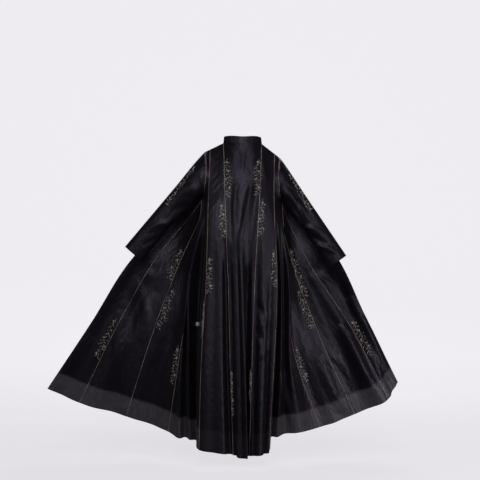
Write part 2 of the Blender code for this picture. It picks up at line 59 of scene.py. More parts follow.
SIDE_BLEND = 0.14
TOP_SLOPE = 2.0
EDGE_TOP_SLOPE = 2.2
FOLD_RISE = 0.22
FOLD_START = 0.55
NAPE = (0.000, 0.000, 0.000)
NECK_POINT = {"left": (-0.092, 0.045, 0.003), "right": (0.093, 0.045, -0.001)}
SHOULDER_TIP = {"left": (-0.182, 0.050, -0.040), "right": (0.182, 0.050, -0.070)}
FRONT_NECK = {"left": (-0.060, 0.128, -0.046), "right": (0.060, 0.128, -0.049)}
ARMHOLE_REACH = {-1.0: 0.064, 1.0: 0.046}
ARMHOLE_SCOOP = 0.014
UNDERARM_PLAN = {"left": (-0.195, 0.050), "right": (0.191, 0.050)}
BACK_SEAM_PLAN = {"left": (-0.160, -0.040), "right": (0.149, -0.040)}


def shoulder(side, share):
    """A point on the straight shoulder seam, from the neck point to the tip."""
    neck, tip = np.array(NECK_POINT[side]), np.array(SHOULDER_TIP[side])
    return tuple(neck + (tip - neck) * share)


def underarm(side, share):
    """A plan point at underarm level, from the side seam (0) to the outer back seam (1)."""
    seam, back = np.array(UNDERARM_PLAN[side]), np.array(BACK_SEAM_PLAN[side])
    return tuple(seam + (back - seam) * share)


# Columns: name, top point, then x and y at underarm, hip, knee and hem level, and the height of the hem.
LINES = (
    ("edge_left", FRONT_NECK["left"], (-0.235, 0.188), (-0.560, 0.150), (-0.735, 0.175),
     (-0.965, 0.200), -1.196),
    ("front_inner_left", shoulder("left", 0.0), (-0.165, 0.185), (-0.445, 0.165), (-0.617, 0.170),
     (-0.807, 0.200), -1.265),
    ("front_outer_left", shoulder("left", 0.69), (-0.172, 0.140), (-0.330, 0.140), (-0.445, 0.130),
     (-0.571, 0.160), -1.327),
    ("side_left", shoulder("left", 1.0), underarm("left", 0.0), (-0.243, 0.045), (-0.298, 0.070),
     (-0.360, 0.095), -1.391),
    ("ridge_low_left", shoulder("left", 0.93), underarm("left", 0.2), (-0.264, 0.026), (-0.288, 0.022),
     (-0.302, 0.010), -1.410),
    ("valley_low_left", shoulder("left", 0.87), underarm("left", 0.4), (-0.240, 0.014), (-0.271, 0.046),
     (-0.276, 0.048), -1.410),
    ("ridge_high_left", shoulder("left", 0.81), underarm("left", 0.6), (-0.255, -0.015), (-0.259, -0.018),
     (-0.250, -0.022), -1.412),
    ("valley_high_left", shoulder("left", 0.75), underarm("left", 0.8), (-0.203, 0.020), (-0.220, 0.022),
     (-0.224, 0.022), -1.420),
    ("back_outer_left", shoulder("left", 0.69), underarm("left", 1.0), (-0.172, -0.085), (-0.190, -0.110),
     (-0.202, -0.130), -1.440),
    ("back_inner_left", shoulder("left", 0.0), (-0.084, -0.055), (-0.068, -0.095), (-0.060, -0.125),
     (-0.046, -0.150), -1.462),
    ("back_middle", NAPE, (-0.001, -0.062), (-0.005, -0.105), (-0.007, -0.135), (-0.006, -0.160), -1.474),
    ("back_inner_right", shoulder("right", 0.0), (0.082, -0.055), (0.057, -0.095), (0.044, -0.120),
     (0.035, -0.145), -1.467),
    ("back_outer_right", shoulder("right", 0.69), underarm("right", 1.0), (0.159, -0.085), (0.142, -0.110),
     (0.117, -0.125), -1.454),
    ("valley_high_right", shoulder("right", 0.75), underarm("right", 0.8), (0.168, 0.012), (0.160, 0.012),
     (0.138, 0.025), -1.405),
    ("ridge_high_right", shoulder("right", 0.81), underarm("right", 0.6), (0.184, -0.018), (0.182, -0.025),
     (0.165, -0.015), -1.400),
    ("valley_low_right", shoulder("right", 0.87), underarm("right", 0.4), (0.194, 0.010), (0.197, 0.015),
     (0.205, 0.040), -1.392),
    ("ridge_low_right", shoulder("right", 0.93), underarm("right", 0.2), (0.222, -0.006), (0.224, -0.002),
     (0.262, 0.025), -1.386),
    ("side_right", shoulder("right", 1.0), underarm("right", 0.0), (0.213, 0.050), (0.243, 0.065),
     (0.377, 0.120), -1.373),
    ("front_outer_right", shoulder("right", 0.69), (0.170, 0.140), (0.262, 0.140), (0.379, 0.130),
     (0.554, 0.180), -1.319),
    ("front_inner_right", shoulder("right", 0.0), (0.162, 0.185), (0.327, 0.165), (0.522, 0.170),
     (0.722, 0.200), -1.246),
    ("edge_right", FRONT_NECK["right"], (0.225, 0.188), (0.476, 0.140), (0.605, 0.180),
     (0.778, 0.260), -1.170),
)
LINE_NAMES = [line[0] for line in LINES]
STRETCHES = (("edge_left", "side_left"), ("side_left", "side_right"), ("side_right", "edge_right"))

# Columns: line it is measured from, place past that line at its top and foot (1 is the next line),
# first and last level, height (below zero is a trough) and half width in the same shares.
FOLDS = (
    ("back_inner_left", 0.14, 0.20, 0.30, 1.00, -0.022, 0.26),
    ("back_inner_left", 0.56, 0.70, 0.10, 1.00, 0.006, 0.36),
    ("back_inner_left", 0.84, 1.42, 0.22, 1.00, 0.030, 0.30),
    ("back_inner_left", 1.46, 1.80, 0.28, 1.00, -0.042, 0.34),
    ("back_outer_left", 0.20, 0.24, 0.28, 1.00, 0.006, 0.30),
    ("back_outer_left", 0.40, 0.42, 0.30, 1.00, -0.004, 0.24),
    ("back_outer_left", 0.64, 0.66, 0.24, 1.00, 0.010, 0.28),
    ("back_outer_left", 0.88, 0.90, 0.26, 1.00, -0.032, 0.20),
    ("back_inner_right", 0.32, 0.48, 0.24, 1.00, 0.028, 0.32),
    ("back_inner_right", 0.62, 0.80, 0.34, 1.00, -0.010, 0.20),
    ("back_inner_right", 0.88, 0.94, 0.20, 1.00, 0.010, 0.18),
    ("front_inner_left", 0.05, 0.68, 0.40, 1.00, -0.012, 0.30),
    ("front_inner_left", 0.50, 0.30, 0.50, 1.00, 0.010, 0.30),
    ("front_outer_left", 0.45, 0.50, 0.34, 1.00, -0.014, 0.34),
    ("edge_left", 0.50, 0.45, 0.36, 1.00, -0.010, 0.40),
    ("side_right", 0.50, 0.40, 0.45, 1.00, 0.012, 0.30),
    ("front_outer_right", 0.50, 0.35, 0.34, 1.00, -0.012, 0.32),
    ("front_outer_right", 0.85, 0.78, 0.45, 1.00, 0.012, 0.26),
    ("front_inner_right", 0.50, 0.45, 0.36, 1.00, -0.012, 0.36),
)

# Creases where the front edges are held out and where the cloth crumples, raised or pressed in.
# The names are the first and last line they lie between.
# Columns: x and z of its start, middle and end, height (below zero is pressed in), half width.
CREASES = {
    ("edge_left", "front_outer_left"): (
        ((-0.577, -0.590), (-0.606, -0.724), (-0.668, -0.905), 0.006, 0.040),
        ((-0.594, -0.810), (-0.612, -0.982), (-0.606, -1.180), 0.007, 0.042),
        ((-0.540, -0.640), (-0.474, -0.810), (-0.492, -0.970), 0.006, 0.038),
        ((-0.560, -0.700), (-0.545, -0.840), (-0.560, -0.960), -0.005, 0.036),
    ),
    ("front_inner_left", "side_left"): (
        ((-0.500, -0.600), (-0.430, -0.640), (-0.350, -0.590), 0.004, 0.042),
        ((-0.480, -0.690), (-0.415, -0.720), (-0.350, -0.690), -0.003, 0.040),
        ((-0.385, -0.760), (-0.398, -0.900), (-0.450, -1.080), 0.006, 0.042),
        ((-0.310, -0.720), (-0.325, -0.820), (-0.330, -0.920), 0.004, 0.030),
    ),
    ("edge_left", "side_left"): (
        ((-0.745, -0.930), (-0.785, -1.020), (-0.825, -1.140), 0.006, 0.042),
        ((-0.700, -0.980), (-0.735, -1.090), (-0.800, -1.200), -0.005, 0.038),
    ),
    ("front_outer_left", "side_left"): (
        ((-0.350, -0.980), (-0.380, -1.120), (-0.420, -1.320), 0.006, 0.036),
    ),
    ("side_right", "edge_right"): (
        ((0.520, -0.740), (0.622, -0.940), (0.712, -1.160), 0.024, 0.050),
        ((0.478, -0.870), (0.558, -1.040), (0.640, -1.230), 0.021, 0.050),
        ((0.350, -0.990), (0.412, -1.140), (0.486, -1.310), 0.018, 0.050),
        ((0.430, -1.040), (0.492, -1.130), (0.540, -1.240), -0.008, 0.034),
        ((0.455, -0.560), (0.400, -0.640), (0.330, -0.640), 0.005, 0.040),
        ((0.480, -0.620), (0.500, -0.740), (0.560, -0.880), -0.008, 0.040),
        ((0.524, -0.900), (0.596, -1.050), (0.672, -1.190), -0.006, 0.034),
        ((0.290, -0.700), (0.322, -0.860), (0.362, -1.060), 0.004, 0.042),
        ((0.350, -0.760), (0.400, -0.880), (0.470, -1.020), -0.005, 0.042),
    ),
    ("side_left", "side_right"): (
        ((0.186, -1.090), (0.203, -1.210), (0.238, -1.340), 0.012, 0.030),
    ),
    ("back_inner_left", "back_inner_right"): (
        ((0.046, -0.190), (0.018, -0.340), (-0.014, -0.520), 0.015, 0.027),
        ((0.070, -0.180), (0.052, -0.350), (0.024, -0.560), -0.009, 0.026),
        ((-0.026, -0.180), (-0.036, -0.280), (-0.042, -0.390), 0.006, 0.020),
        ((-0.056, -0.230), (-0.058, -0.350), (-0.050, -0.470), -0.005, 0.022),
        ((-0.030, -0.030), (-0.018, -0.075), (-0.022, -0.120), -0.005, 0.022),
        ((0.036, -0.030), (0.022, -0.080), (0.024, -0.140), -0.004, 0.022),
    ),
    ("back_outer_left", "back_inner_left"): (
        ((-0.156, -0.110), (-0.130, -0.080), (-0.100, -0.052), -0.003, 0.009),
        ((-0.156, -0.135), (-0.128, -0.108), (-0.098, -0.076), -0.004, 0.010),
        ((-0.154, -0.160), (-0.126, -0.132), (-0.098, -0.104), -0.003, 0.009),
        ((-0.154, -0.192), (-0.126, -0.160), (-0.098, -0.128), -0.004, 0.011),
        ((-0.154, -0.226), (-0.126, -0.196), (-0.100, -0.166), -0.003, 0.010),
        ((-0.152, -0.262), (-0.124, -0.232), (-0.100, -0.198), -0.003, 0.012),
        ((-0.150, -0.318), (-0.124, -0.290), (-0.102, -0.262), 0.003, 0.013),
    ),
    ("back_inner_right", "back_outer_right"): (
        ((0.096, -0.060), (0.100, -0.120), (0.112, -0.190), 0.004, 0.020),
        ((0.142, -0.640), (0.112, -0.720), (0.078, -0.780), 0.006, 0.026),
        ((0.064, -0.760), (0.088, -0.800), (0.110, -0.860), -0.005, 0.024),
        ((0.138, -0.790), (0.104, -0.850), (0.072, -0.880), 0.005, 0.025),
        ((0.062, -0.900), (0.088, -0.920), (0.116, -0.980), -0.005, 0.023),
        ((0.130, -0.930), (0.100, -0.990), (0.066, -1.010), 0.004, 0.024),
    ),
}
CREASE_STEPS = 40
CREASE_TAPER = 0.7
# Columns: how fast it waves across and down, in radians a metre, its phase and its height.
RIPPLES = ((31.0, 5.0, 0.4, 0.0007), (17.0, 9.0, 2.1, 0.0008), (53.0, 3.0, 4.0, 0.0004))

# Columns: panel, first line, last line, strips across between two lines.
PANELS = (
    ("front_edge_left", "edge_left", "front_inner_left", 28),
    ("front_side_left", "front_inner_left", "front_outer_left", 36),
    ("underarm_front_left", "front_outer_left", "side_left", 32),
    ("underarm_back_left", "side_left", "back_outer_left", 14),
    ("back_side_left", "back_outer_left", "back_inner_left", 36),
    ("back_centre", "back_inner_left", "back_inner_right", 24),
    ("back_side_right", "back_inner_right", "back_outer_right", 36),
    ("underarm_back_right", "back_outer_right", "side_right", 14),
    ("underarm_front_right", "side_right", "front_outer_right", 30),
    ("front_side_right", "front_outer_right", "front_inner_right", 34),
    ("front_edge_right", "front_inner_right", "edge_right", 28),
)


def unit(vectors):
    """Vectors scaled to length one."""
    lengths = np.linalg.norm(vectors, axis=-1, keepdims=True)
    return vectors / np.maximum(lengths, 1e-12)


def ease(share):
    """A smooth rise from 0 to 1."""
    share = np.clip(share, 0.0, 1.0)
    return share * share * (3.0 - 2.0 * share)


def smooth_curve(knots, points, places, first_slope=1.0):
    """A smooth curve through points at knots, read at places."""
    knots, points, places = np.asarray(knots), np.asarray(points), np.asarray(places)
    spans = np.diff(knots)
    slopes = np.diff(points, axis=0) / spans[:, None]
    tangents = np.empty_like(points)
    tangents[0], tangents[-1] = slopes[0] * first_slope, slopes[-1]
    weight = spans[:, None]
    tangents[1:-1] = (slopes[:-1] * weight[1:] + slopes[1:] * weight[:-1]) / (weight[1:] + weight[:-1])
    index = np.clip(np.searchsorted(knots, places, side="right") - 1, 0, len(spans) - 1)
    span = spans[index][:, None]
    t = (places - knots[index])[:, None] / span
    rise = t * t * (3.0 - 2.0 * t)
    leave = t * (1.0 - t) ** 2
    arrive = t * t * (t - 1.0)
    start, end = points[index], points[index + 1]
    return start + (end - start) * rise + (tangents[index] * leave + tangents[index + 1] * arrive) * span


def line_points(rows):
    """Every line at each row: an array of rows by lines by three."""
    lines = []
    for name, top, *stations, hem_height in LINES:
        plan = np.array([top[:2], *stations])
        slope = EDGE_TOP_SLOPE if name.startswith("edge") else TOP_SLOPE
        height = top[2] + (hem_height - top[2]) * rows
        lines.append(np.column_stack([smooth_curve(LEVELS, plan, rows, slope), height]))
    return np.stack(lines, axis=1)


def armhole_edge(side, rows, facing):
    """The armhole from the shoulder tip to the underarm, along its back (-1) or its front (+1)."""
    line = LINES[LINE_NAMES.index(f"side_{side}")]
    tip = np.array(SHOULDER_TIP[side])
    foot = np.array([*line[2], tip[2] + (line[-1] - tip[2]) * UNDERARM])
    inward = -1.0 if side == "right" else 1.0
    turn = math.pi * rows / UNDERARM
    edge = (tip + foot) / 2 + np.outer(np.cos(turn), (tip - foot) / 2)
    edge[:, 0] += inward * ARMHOLE_SCOOP * np.sin(turn)
    edge[:, 1] += facing * ARMHOLE_REACH[facing] * np.sin(turn)
    return edge


def shoulder_share(places):
    """1 on the columns that end at a shoulder seam, 0 on those that end at the neck."""
    share = np.ones(len(places))
    for name in ("edge_left", "back_inner_left", "back_middle", "front_inner_right"):
        low = LINE_NAMES.index(name)
        share[(places > low) & (places < low + 1)] = 0.0
    return share


def neck_bulge(places, row):
    """How far back the nape is rounded out between the neck points."""
    share = 1.0 - np.clip(np.abs(places - LINE_NAMES.index("back_middle")), 0.0, 1.0)
    return NECK_ROUNDING * share * (1.0 - share) ** 2 * (1.0 - ease(row / NECK_FADE))


def across_lines(lines, start, stop, places):
    """One row of cloth read between its lines, on a smooth curve and on straight runs."""
    section = lines[start:stop + 1]
    chords = np.linalg.norm(np.diff(section, axis=0), axis=1)
    knots = np.concatenate([[0.0], np.cumsum(np.sqrt(chords))])
    read = np.interp(places, np.arange(start, stop + 1), knots)
    straight = np.column_stack([np.interp(read, knots, section[:, k]) for k in range(3)])
    return smooth_curve(knots, section, read), straight


def cloth_strip(first, last, steps, rows):
    """The cloth between two lines, with its armhole edges: points, and the place of each column."""
    lines = line_points(rows)
    low, high = LINE_NAMES.index(first), LINE_NAMES.index(last)
    armhole = slice(ARMHOLE_ROWS)
    facing = -1.0 if first == "side_left" else 1.0
    for name in (first, last):
        if name.startswith("side"):
            side = name.split("_")[1]
            seam, back = LINE_NAMES.index(name), LINE_NAMES.index(f"back_outer_{side}")
            lines[armhole, seam] = armhole_edge(side, rows[armhole], facing)
            for line in range(min(seam, back) + 1, max(seam, back)):
                share = (line - seam) / (back - seam)
                lines[armhole, line] = lines[armhole, seam] * (1 - share) + lines[armhole, back] * share
    places = np.concatenate([low + i + np.arange(n) / n for i, n in enumerate(steps)] + [[high]])
    wide_low, wide_high = max(low - 1, 0), min(high + 1, len(LINES) - 1)
    grid = np.empty((len(rows), len(places), 3))
    for r, row in enumerate(rows):
        alone, straight = across_lines(lines[r], low, high, places)
        joined, _ = across_lines(lines[r], wide_low, wide_high, places)
        curved = alone + (joined - alone) * ease((row - UNDERARM) / SIDE_BLEND)
        on_shoulder = shoulder_share(places) * (1.0 - ease(row / SHOULDER_BLEND))
        grid[r] = curved + (straight - curved) * on_shoulder[:, None]
        grid[r, :, 1] -= neck_bulge(places, row)
    return grid, places


def normals_of(grid):
    """Outward normals of a grid of rows and columns."""
    return unit(np.cross(np.gradient(grid, axis=0), np.gradient(grid, axis=1)))


def ridge(distance, half_width):
    """The share of its height that a fold or crease has at a distance from its line."""
    return np.cos(np.clip(distance / half_width, 0.0, 1.0) * math.pi / 2) ** 2


def fold_heights(rows, places):
    """How far the soft folds lift each point of the cloth."""
    lift = np.zeros((len(rows), len(places)))
    for name, top, foot, start, end, height, half_width in FOLDS:
        share = np.clip((rows - start) / (end - start), 0.0, 1.0)
        centre = LINE_NAMES.index(name) + top + (foot - top) * share
        growth = ease((rows - start) / FOLD_RISE) * (FOLD_START + (1.0 - FOLD_START) * share)
        lift += height * growth[:, None] * ridge(np.abs(places[None, :] - centre[:, None]), half_width)
    return lift


def crease_line(start, middle, end, share):
    """The smooth line of a crease through its start, middle and end, read at shares of its length."""
    early, late = start * (1 - share) * (1 - 2 * share), end * share * (2 * share - 1)
    return early + middle * 4 * share * (1 - share) + late


def crease_heights(grid, places):
    """How far the hand-placed creases and a faint unevenness lift each point of the cloth."""
    lift = np.zeros(grid.shape[:2])
    share = np.linspace(0.0, 1.0, CREASE_STEPS)[:, None]
    for (first, last), creases in CREASES.items():
        low, high = LINE_NAMES.index(first), LINE_NAMES.index(last)
        columns = np.flatnonzero((places >= low) & (places <= high))
        if len(columns) == 0:
            continue
        seen = grid[:, columns][:, :, [0, 2]]
        for start, middle, end, height, half_width in creases:
            path = crease_line(np.array(start), np.array(middle), np.array(end), share)
            distances = np.linalg.norm(seen[:, :, None] - path[None, None], axis=3)
            taper = np.sin(math.pi * share[distances.argmin(axis=2), 0]) ** CREASE_TAPER
            lift[:, columns] += height * taper * ridge(distances.min(axis=2), half_width)
    for across, down, phase, height in RIPPLES:
        lift += height * np.sin(across * grid[:, :, 0] + down * grid[:, :, 2] + phase)
    return lift


def shoulder_normal(side):
    """The upward normal of the shoulder seam."""
    seam = np.array(SHOULDER_TIP[side]) - np.array(NECK_POINT[side])
    upward = np.cross(seam, (0.0, 1.0, 0.0))
    return unit(upward if upward[2] > 0 else -upward)


def share_shoulder_normals(normals, places):
    """One normal for front and back along each shoulder seam."""
    ends = [LINE_NAMES.index(name) for name in ("edge_left", "side_left", "side_right", "edge_right")]
    for c in np.flatnonzero(shoulder_share(places) > 0.5):
        side = "left" if places[c] < LINE_NAMES.index("back_middle") else "right"
        if places[c] not in ends:
            normals[0, c] = shoulder_normal(side)


def steps_between(first, last):
    """The strips across for each pair of neighbouring lines."""
    steps = []
    for _, start, end, count in PANELS:
        low, high = LINE_NAMES.index(start), LINE_NAMES.index(end)
        if LINE_NAMES.index(first) <= low and high <= LINE_NAMES.index(last):
            steps += [count] * (high - low)
    return steps


ROWS = np.concatenate([
    np.linspace(0.0, UNDERARM, ARMHOLE_ROWS),
    np.linspace(UNDERARM, HEM - HEM_DEPTH, BODY_ROWS)[1:],
    np.linspace(HEM - HEM_DEPTH, HEM_EDGE, HEM_ROWS)[1:],
    [HEM],
])
SIDE_SEAMS = (("edge_left", "side_left"), ("side_left", "side_right"))
SIDE_SEAM_COLUMNS = 12
SIDE_SEAM_SHARE = 0.5


def even_side_seam(one, two):
    """Brings the lift on both sides of a side seam to their mean, over a few columns."""
    meeting = (lifts[one][:, -1] + lifts[two][:, 0]) / 2
    meeting[:ARMHOLE_ROWS] = 0.0
    for columns in (lifts[one][:, ::-1], lifts[two]):
        edge = columns[:, 0] - meeting
        for k in range(SIDE_SEAM_COLUMNS):
            columns[:, k] -= edge * (1.0 - ease(k / SIDE_SEAM_COLUMNS))


def share_seam_normals(one, two):
    """One normal for both sides of a side seam, below its armhole."""
    before, after = cloth[one][1], cloth[two][1]
    shared = unit(before[:, -1] + after[:, 0])[ARMHOLE_ROWS:]
    before[ARMHOLE_ROWS:, -1] = after[ARMHOLE_ROWS:, 0] = shared


cloth, lifts = {}, {}
for first, last in STRETCHES:
    grid, places = cloth_strip(first, last, steps_between(first, last), ROWS)
    normals = normals_of(grid)
    share_shoulder_normals(normals, places)
    creases = crease_heights(grid, places) * ease(ROWS / SHOULDER_BLEND)[:, None]
    cloth[first], lifts[first] = (grid, normals, places), fold_heights(ROWS, places) + creases
lifts["side_left"][:, [0, -1]] *= SIDE_SEAM_SHARE
for one, two in SIDE_SEAMS:
    even_side_seam(one, two)
    share_seam_normals(one, two)
for first, (grid, normals, places) in cloth.items():
    grid += normals * lifts[first][:, :, None]
    normals[:] = normals_of(grid)
    share_shoulder_normals(normals, places)
for one, two in SIDE_SEAMS:
    share_seam_normals(one, two)


def cloth_uv(grid, middle):
    """Across and down distances on the cloth in metres, so that the weave keeps its size."""
    across = np.linalg.norm(np.diff(grid, axis=1), axis=2)
    across = np.concatenate([np.zeros((len(grid), 1)), np.cumsum(across, axis=1)], axis=1)
    down = np.linalg.norm(np.diff(grid[:, middle], axis=0), axis=1)
    down = np.concatenate([[0.0], np.cumsum(down)])
    down = np.repeat(down[:, None], grid.shape[1], axis=1)
    return np.stack([across - across[:, middle:middle + 1], down], axis=2)


SHARP_ANGLE = math.radians(60)


def wall_mesh(name, outer, inner, uv, closed=False, band=None):
    """A closed wall from its outer and inner points, with the cloth's own UV and a mark on its hem band."""
    rows, columns = outer.shape[:2]
    shift = rows * columns
    index = np.arange(shift).reshape(rows, columns)
    here = index if closed else index[:, :-1]
    beside = np.roll(index, -1, axis=1) if closed else index[:, 1:]
    a, b, c, d = here[:-1].ravel(), here[1:].ravel(), beside[1:].ravel(), beside[:-1].ravel()
    quads = [np.column_stack([a, b, c, d]), np.column_stack([d, c, b, a]) + shift]
    for row, turn in ((0, 1), (-1, -1)):
        one, two = here[row], beside[row]
        quads.append(np.column_stack([one, two, two + shift, one + shift][::turn]))
    if not closed:
        for column, turn in ((0, 1), (-1, -1)):
            one, two = index[:-1, column], index[1:, column]
            quads.append(np.column_stack([one, one + shift, two + shift, two][::turn]))
    quads = np.concatenate(quads)
    mesh = bpy.data.meshes.new(name)
    points = np.concatenate([outer.reshape(-1, 3), inner.reshape(-1, 3)])
    mesh.from_pydata(points.tolist(), [], quads.tolist())
    flat = np.concatenate([uv.reshape(-1, 2)] * 2)
    layer = mesh.uv_layers.new(name="cloth")
    layer.data.foreach_set("uv", flat[quads.ravel()].ravel().astype(np.float32))
    marks = np.zeros(shift * 2) if band is None else np.concatenate([band.ravel()] * 2)
    mesh.attributes.new("hem", "FLOAT", "POINT").data.foreach_set("value", marks.astype(np.float32))
    mesh.shade_smooth()
    mesh.set_sharp_from_angle(angle=SHARP_ANGLE)
    mesh.update()
    return mesh


def add_object(name, mesh, finish, *nodes):
    """A finished piece at the origin, riding on the cloak and standing for its solids."""
    piece = bpy.data.objects.new(name, mesh)
    bpy.context.scene.collection.objects.link(piece)
    if not mesh.materials:
        mesh.materials.append(finish)
    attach(piece, "root")
    if nodes:
        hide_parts(*nodes)
    return piece


def wired(tree, kind, inputs=(), output=0, **settings):
    """One output of a new node, with its settings and with sockets or plain values at its inputs."""
    node = tree.nodes.new(kind)
    for label, value in settings.items():
        setattr(node, label, value)
    for label, value in dict(inputs).items():
        if isinstance(value, bpy.types.NodeSocket):
            tree.links.new(value, node.inputs[label])
        else:
            node.inputs[label].default_value = value
    return node.outputs[output]


def new_finish(name, values):
    """A new material with plain values on its main shader: the material, its tree and that shader."""
    finish = bpy.data.materials.new(name)
    finish.use_nodes = True
    shader = finish.node_tree.nodes["Principled BSDF"]
    for label, value in values.items():
        shader.inputs[label].default_value = value
    return finish, finish.node_tree, shader


def colour_steps(tree, share, *stops, blend="LINEAR"):
    """Colours that follow a share, through stops of a position and a colour."""
    node = tree.nodes.new("ShaderNodeValToRGB")
    node.color_ramp.interpolation = blend
    elements = node.color_ramp.elements
    for index, (position, colour) in ((0, stops[0]), (1, stops[-1])):
        elements[index].position = position
        elements[index].color = (*colour, 1.0)
    for position, colour in stops[1:-1]:
        elements.new(position).color = (*colour, 1.0)
    tree.links.new(share, node.inputs[0])
    return node.outputs[0]


def object_noise(tree, scale):
    """Noise that is fixed to the object, finer with a larger scale."""
    place = wired(tree, "ShaderNodeTexCoord", output="Object")
    return wired(tree, "ShaderNodeTexNoise", {"Vector": place, "Scale": scale}, "Fac")


SATIN_DARK = (0.0024, 0.0018, 0.0030)
SATIN_LIGHT = (0.0070, 0.0050, 0.0084)
SATIN_ROUGHNESS = 0.38
ROUGHNESS_CHANGE = 0.04
THREAD_DEPTH = 0.00008
CRINKLE_DEPTH = 0.0045
WEFT_COUNT, WEFT_DEPTH = 0.7, 0.35
THREAD_BUMP, CRINKLE_BUMP = 0.30, 0.60
# The hem band is painted paler: partly the greyer tone of the double layer of organza, partly painted sheen.
HEM_TONE_AND_SHEEN = (0.096, 0.086, 0.100)
HEM_MOTTLE = 0.68
HEM_FADE = 0.004
# Painted shade: the share of the paler hem band that the back panels keep.
SHADED_BACK_HEM_SHARE = 0.12


def woven_threads_group():
    """Fine lengthwise threads with slubs, and small crinkles, from a piece's own UV in metres."""
    group = bpy.data.node_groups.new("woven_threads", "ShaderNodeTree")
    sockets = group.interface
    sockets.new_socket("Cloth", in_out="INPUT", socket_type="NodeSocketVector")
    for label, value in (("Threads per metre", 900.0), ("Slubs across", 900.0), ("Slubs down", 14.0),
                         ("Crinkles across", 62.0), ("Crinkles down", 26.0)):
        sockets.new_socket(label, in_out="INPUT", socket_type="NodeSocketFloat").default_value = value
    for label in ("Height", "Streak", "Crinkle"):
        sockets.new_socket(label, in_out="OUTPUT", socket_type="NodeSocketFloat")
    given, end = group.nodes.new("NodeGroupInput").outputs, group.nodes.new("NodeGroupOutput")
    split = group.nodes.new("ShaderNodeSeparateXYZ")
    group.links.new(given["Cloth"], split.inputs[0])

    def times(one, two):
        return wired(group, "ShaderNodeMath", {0: one, 1: two}, operation="MULTIPLY")

    waves = []
    for axis, share in (("X", 1.0), ("Y", WEFT_COUNT)):
        phase = times(split.outputs[axis], times(given["Threads per metre"], 2 * math.pi * share))
        waves.append(wired(group, "ShaderNodeMath", {0: phase}, operation="SINE"))
    patterns = []
    for kind, detail in (("Slubs", 3.0), ("Crinkles", 2.0)):
        stretched = wired(group, "ShaderNodeCombineXYZ", {
            "X": times(split.outputs["X"], given[f"{kind} across"]),
            "Y": times(split.outputs["Y"], given[f"{kind} down"])})
        patterns.append(wired(group, "ShaderNodeTexNoise",
                              {"Vector": stretched, "Scale": 1.0, "Detail": detail}, "Fac"))
    threads = wired(group, "ShaderNodeMath", {0: waves[1], 1: WEFT_DEPTH, 2: waves[0]},
                    operation="MULTIPLY_ADD")
    height = wired(group, "ShaderNodeMath", {0: threads, 1: patterns[0]}, operation="ADD")
    for label, value in (("Height", height), ("Streak", patterns[0]), ("Crinkle", patterns[1])):
        group.links.new(value, end.inputs[label])
    return group


def satin_material():
    """Black satin organza: close lengthwise threads, a broad soft sheen, and a hem band painted paler, partly
    for the greyer tone of the double layer and partly as painted sheen.
    """
    finish, tree, shader = new_finish("black_satin_organza", {
        "Specular IOR Level": 0.50, "Specular Tint": (0.86, 0.76, 1.0, 1.0),
        "Sheen Weight": 0.04, "Sheen Roughness": 0.45, "Sheen Tint": (0.80, 0.66, 0.78, 1.0)})
    weave = tree.nodes.new("ShaderNodeGroup")
    weave.node_tree = woven_threads_group()
    tree.links.new(wired(tree, "ShaderNodeUVMap", uv_map="cloth"), weave.inputs["Cloth"])
    streak, crinkle = weave.outputs["Streak"], weave.outputs["Crinkle"]
    single = colour_steps(tree, streak, (0.38, SATIN_DARK), (0.70, SATIN_LIGHT))
    mottled = tuple(channel * HEM_MOTTLE for channel in HEM_TONE_AND_SHEEN)
    doubled_and_sheen = colour_steps(tree, crinkle, (0.30, mottled), (0.66, HEM_TONE_AND_SHEEN))
    band = wired(tree, "ShaderNodeAttribute", output="Fac", attribute_name="hem")
    colour = wired(tree, "ShaderNodeMix", {0: band, 6: single, 7: doubled_and_sheen}, 2, data_type="RGBA")
    gloss = wired(tree, "ShaderNodeMapRange", {
        "Value": streak, "To Min": SATIN_ROUGHNESS - ROUGHNESS_CHANGE,
        "To Max": SATIN_ROUGHNESS + ROUGHNESS_CHANGE})
    crinkled = wired(tree, "ShaderNodeBump", {
        "Strength": CRINKLE_BUMP, "Distance": CRINKLE_DEPTH, "Height": crinkle})
    normal = wired(tree, "ShaderNodeBump", {
        "Strength": THREAD_BUMP, "Distance": THREAD_DEPTH, "Height": weave.outputs["Height"],
        "Normal": crinkled})
    for source, target in ((colour, "Base Color"), (gloss, "Roughness"), (normal, "Normal")):
        tree.links.new(source, shader.inputs[target])
    return finish


def stretch_with(low, high):
    """The stretch of cloth that holds all places from low to high: its points, normals and places."""
    return next(s for s in cloth.values() if s[2][0] <= low and high <= s[2][-1])


def column_at(places, place):
    """The column of a stretch that lies at a place."""
    return int(np.argmin(np.abs(places - place)))


SATIN = satin_material()
HEM_MARK = ease((ROWS - (HEM - HEM_DEPTH)) / HEM_FADE) * (ROWS < HEM)
for name, first, last, _ in PANELS:
    low, high = LINE_NAMES.index(first), LINE_NAMES.index(last)
    grid, normals, places = stretch_with(low, high)
    start, stop = column_at(places, low), column_at(places, high)
    grid, normals = grid[:, start:stop + 1].copy(), normals[:, start:stop + 1]
    grid[:, 0] += unit(grid[:, 1] - grid[:, 0]) * SEAM_GAP / 2
    grid[:, -1] += unit(grid[:, -2] - grid[:, -1]) * SEAM_GAP / 2
    grid[0] += unit(grid[1] - grid[0]) * SEAM_GAP / 2
    band = np.repeat(HEM_MARK[:, None], grid.shape[1], axis=1)
    depth = (1.0 + band)[:, :, None] * WALL
    # Painted shade: on the back panels the paler hem band is cut to a small share, because the back hem lies
    # in shade.
    if name.startswith("back"):
        band = band * SHADED_BACK_HEM_SHARE
    outer, inner = grid + normals * WALL / 2, grid + normals * (WALL / 2 - depth)
    mesh = wall_mesh(name + "_cloth", outer, inner, cloth_uv(grid, grid.shape[1] // 2), band=band)
    piece = add_object(name + "_cloth", mesh, SATIN, name)

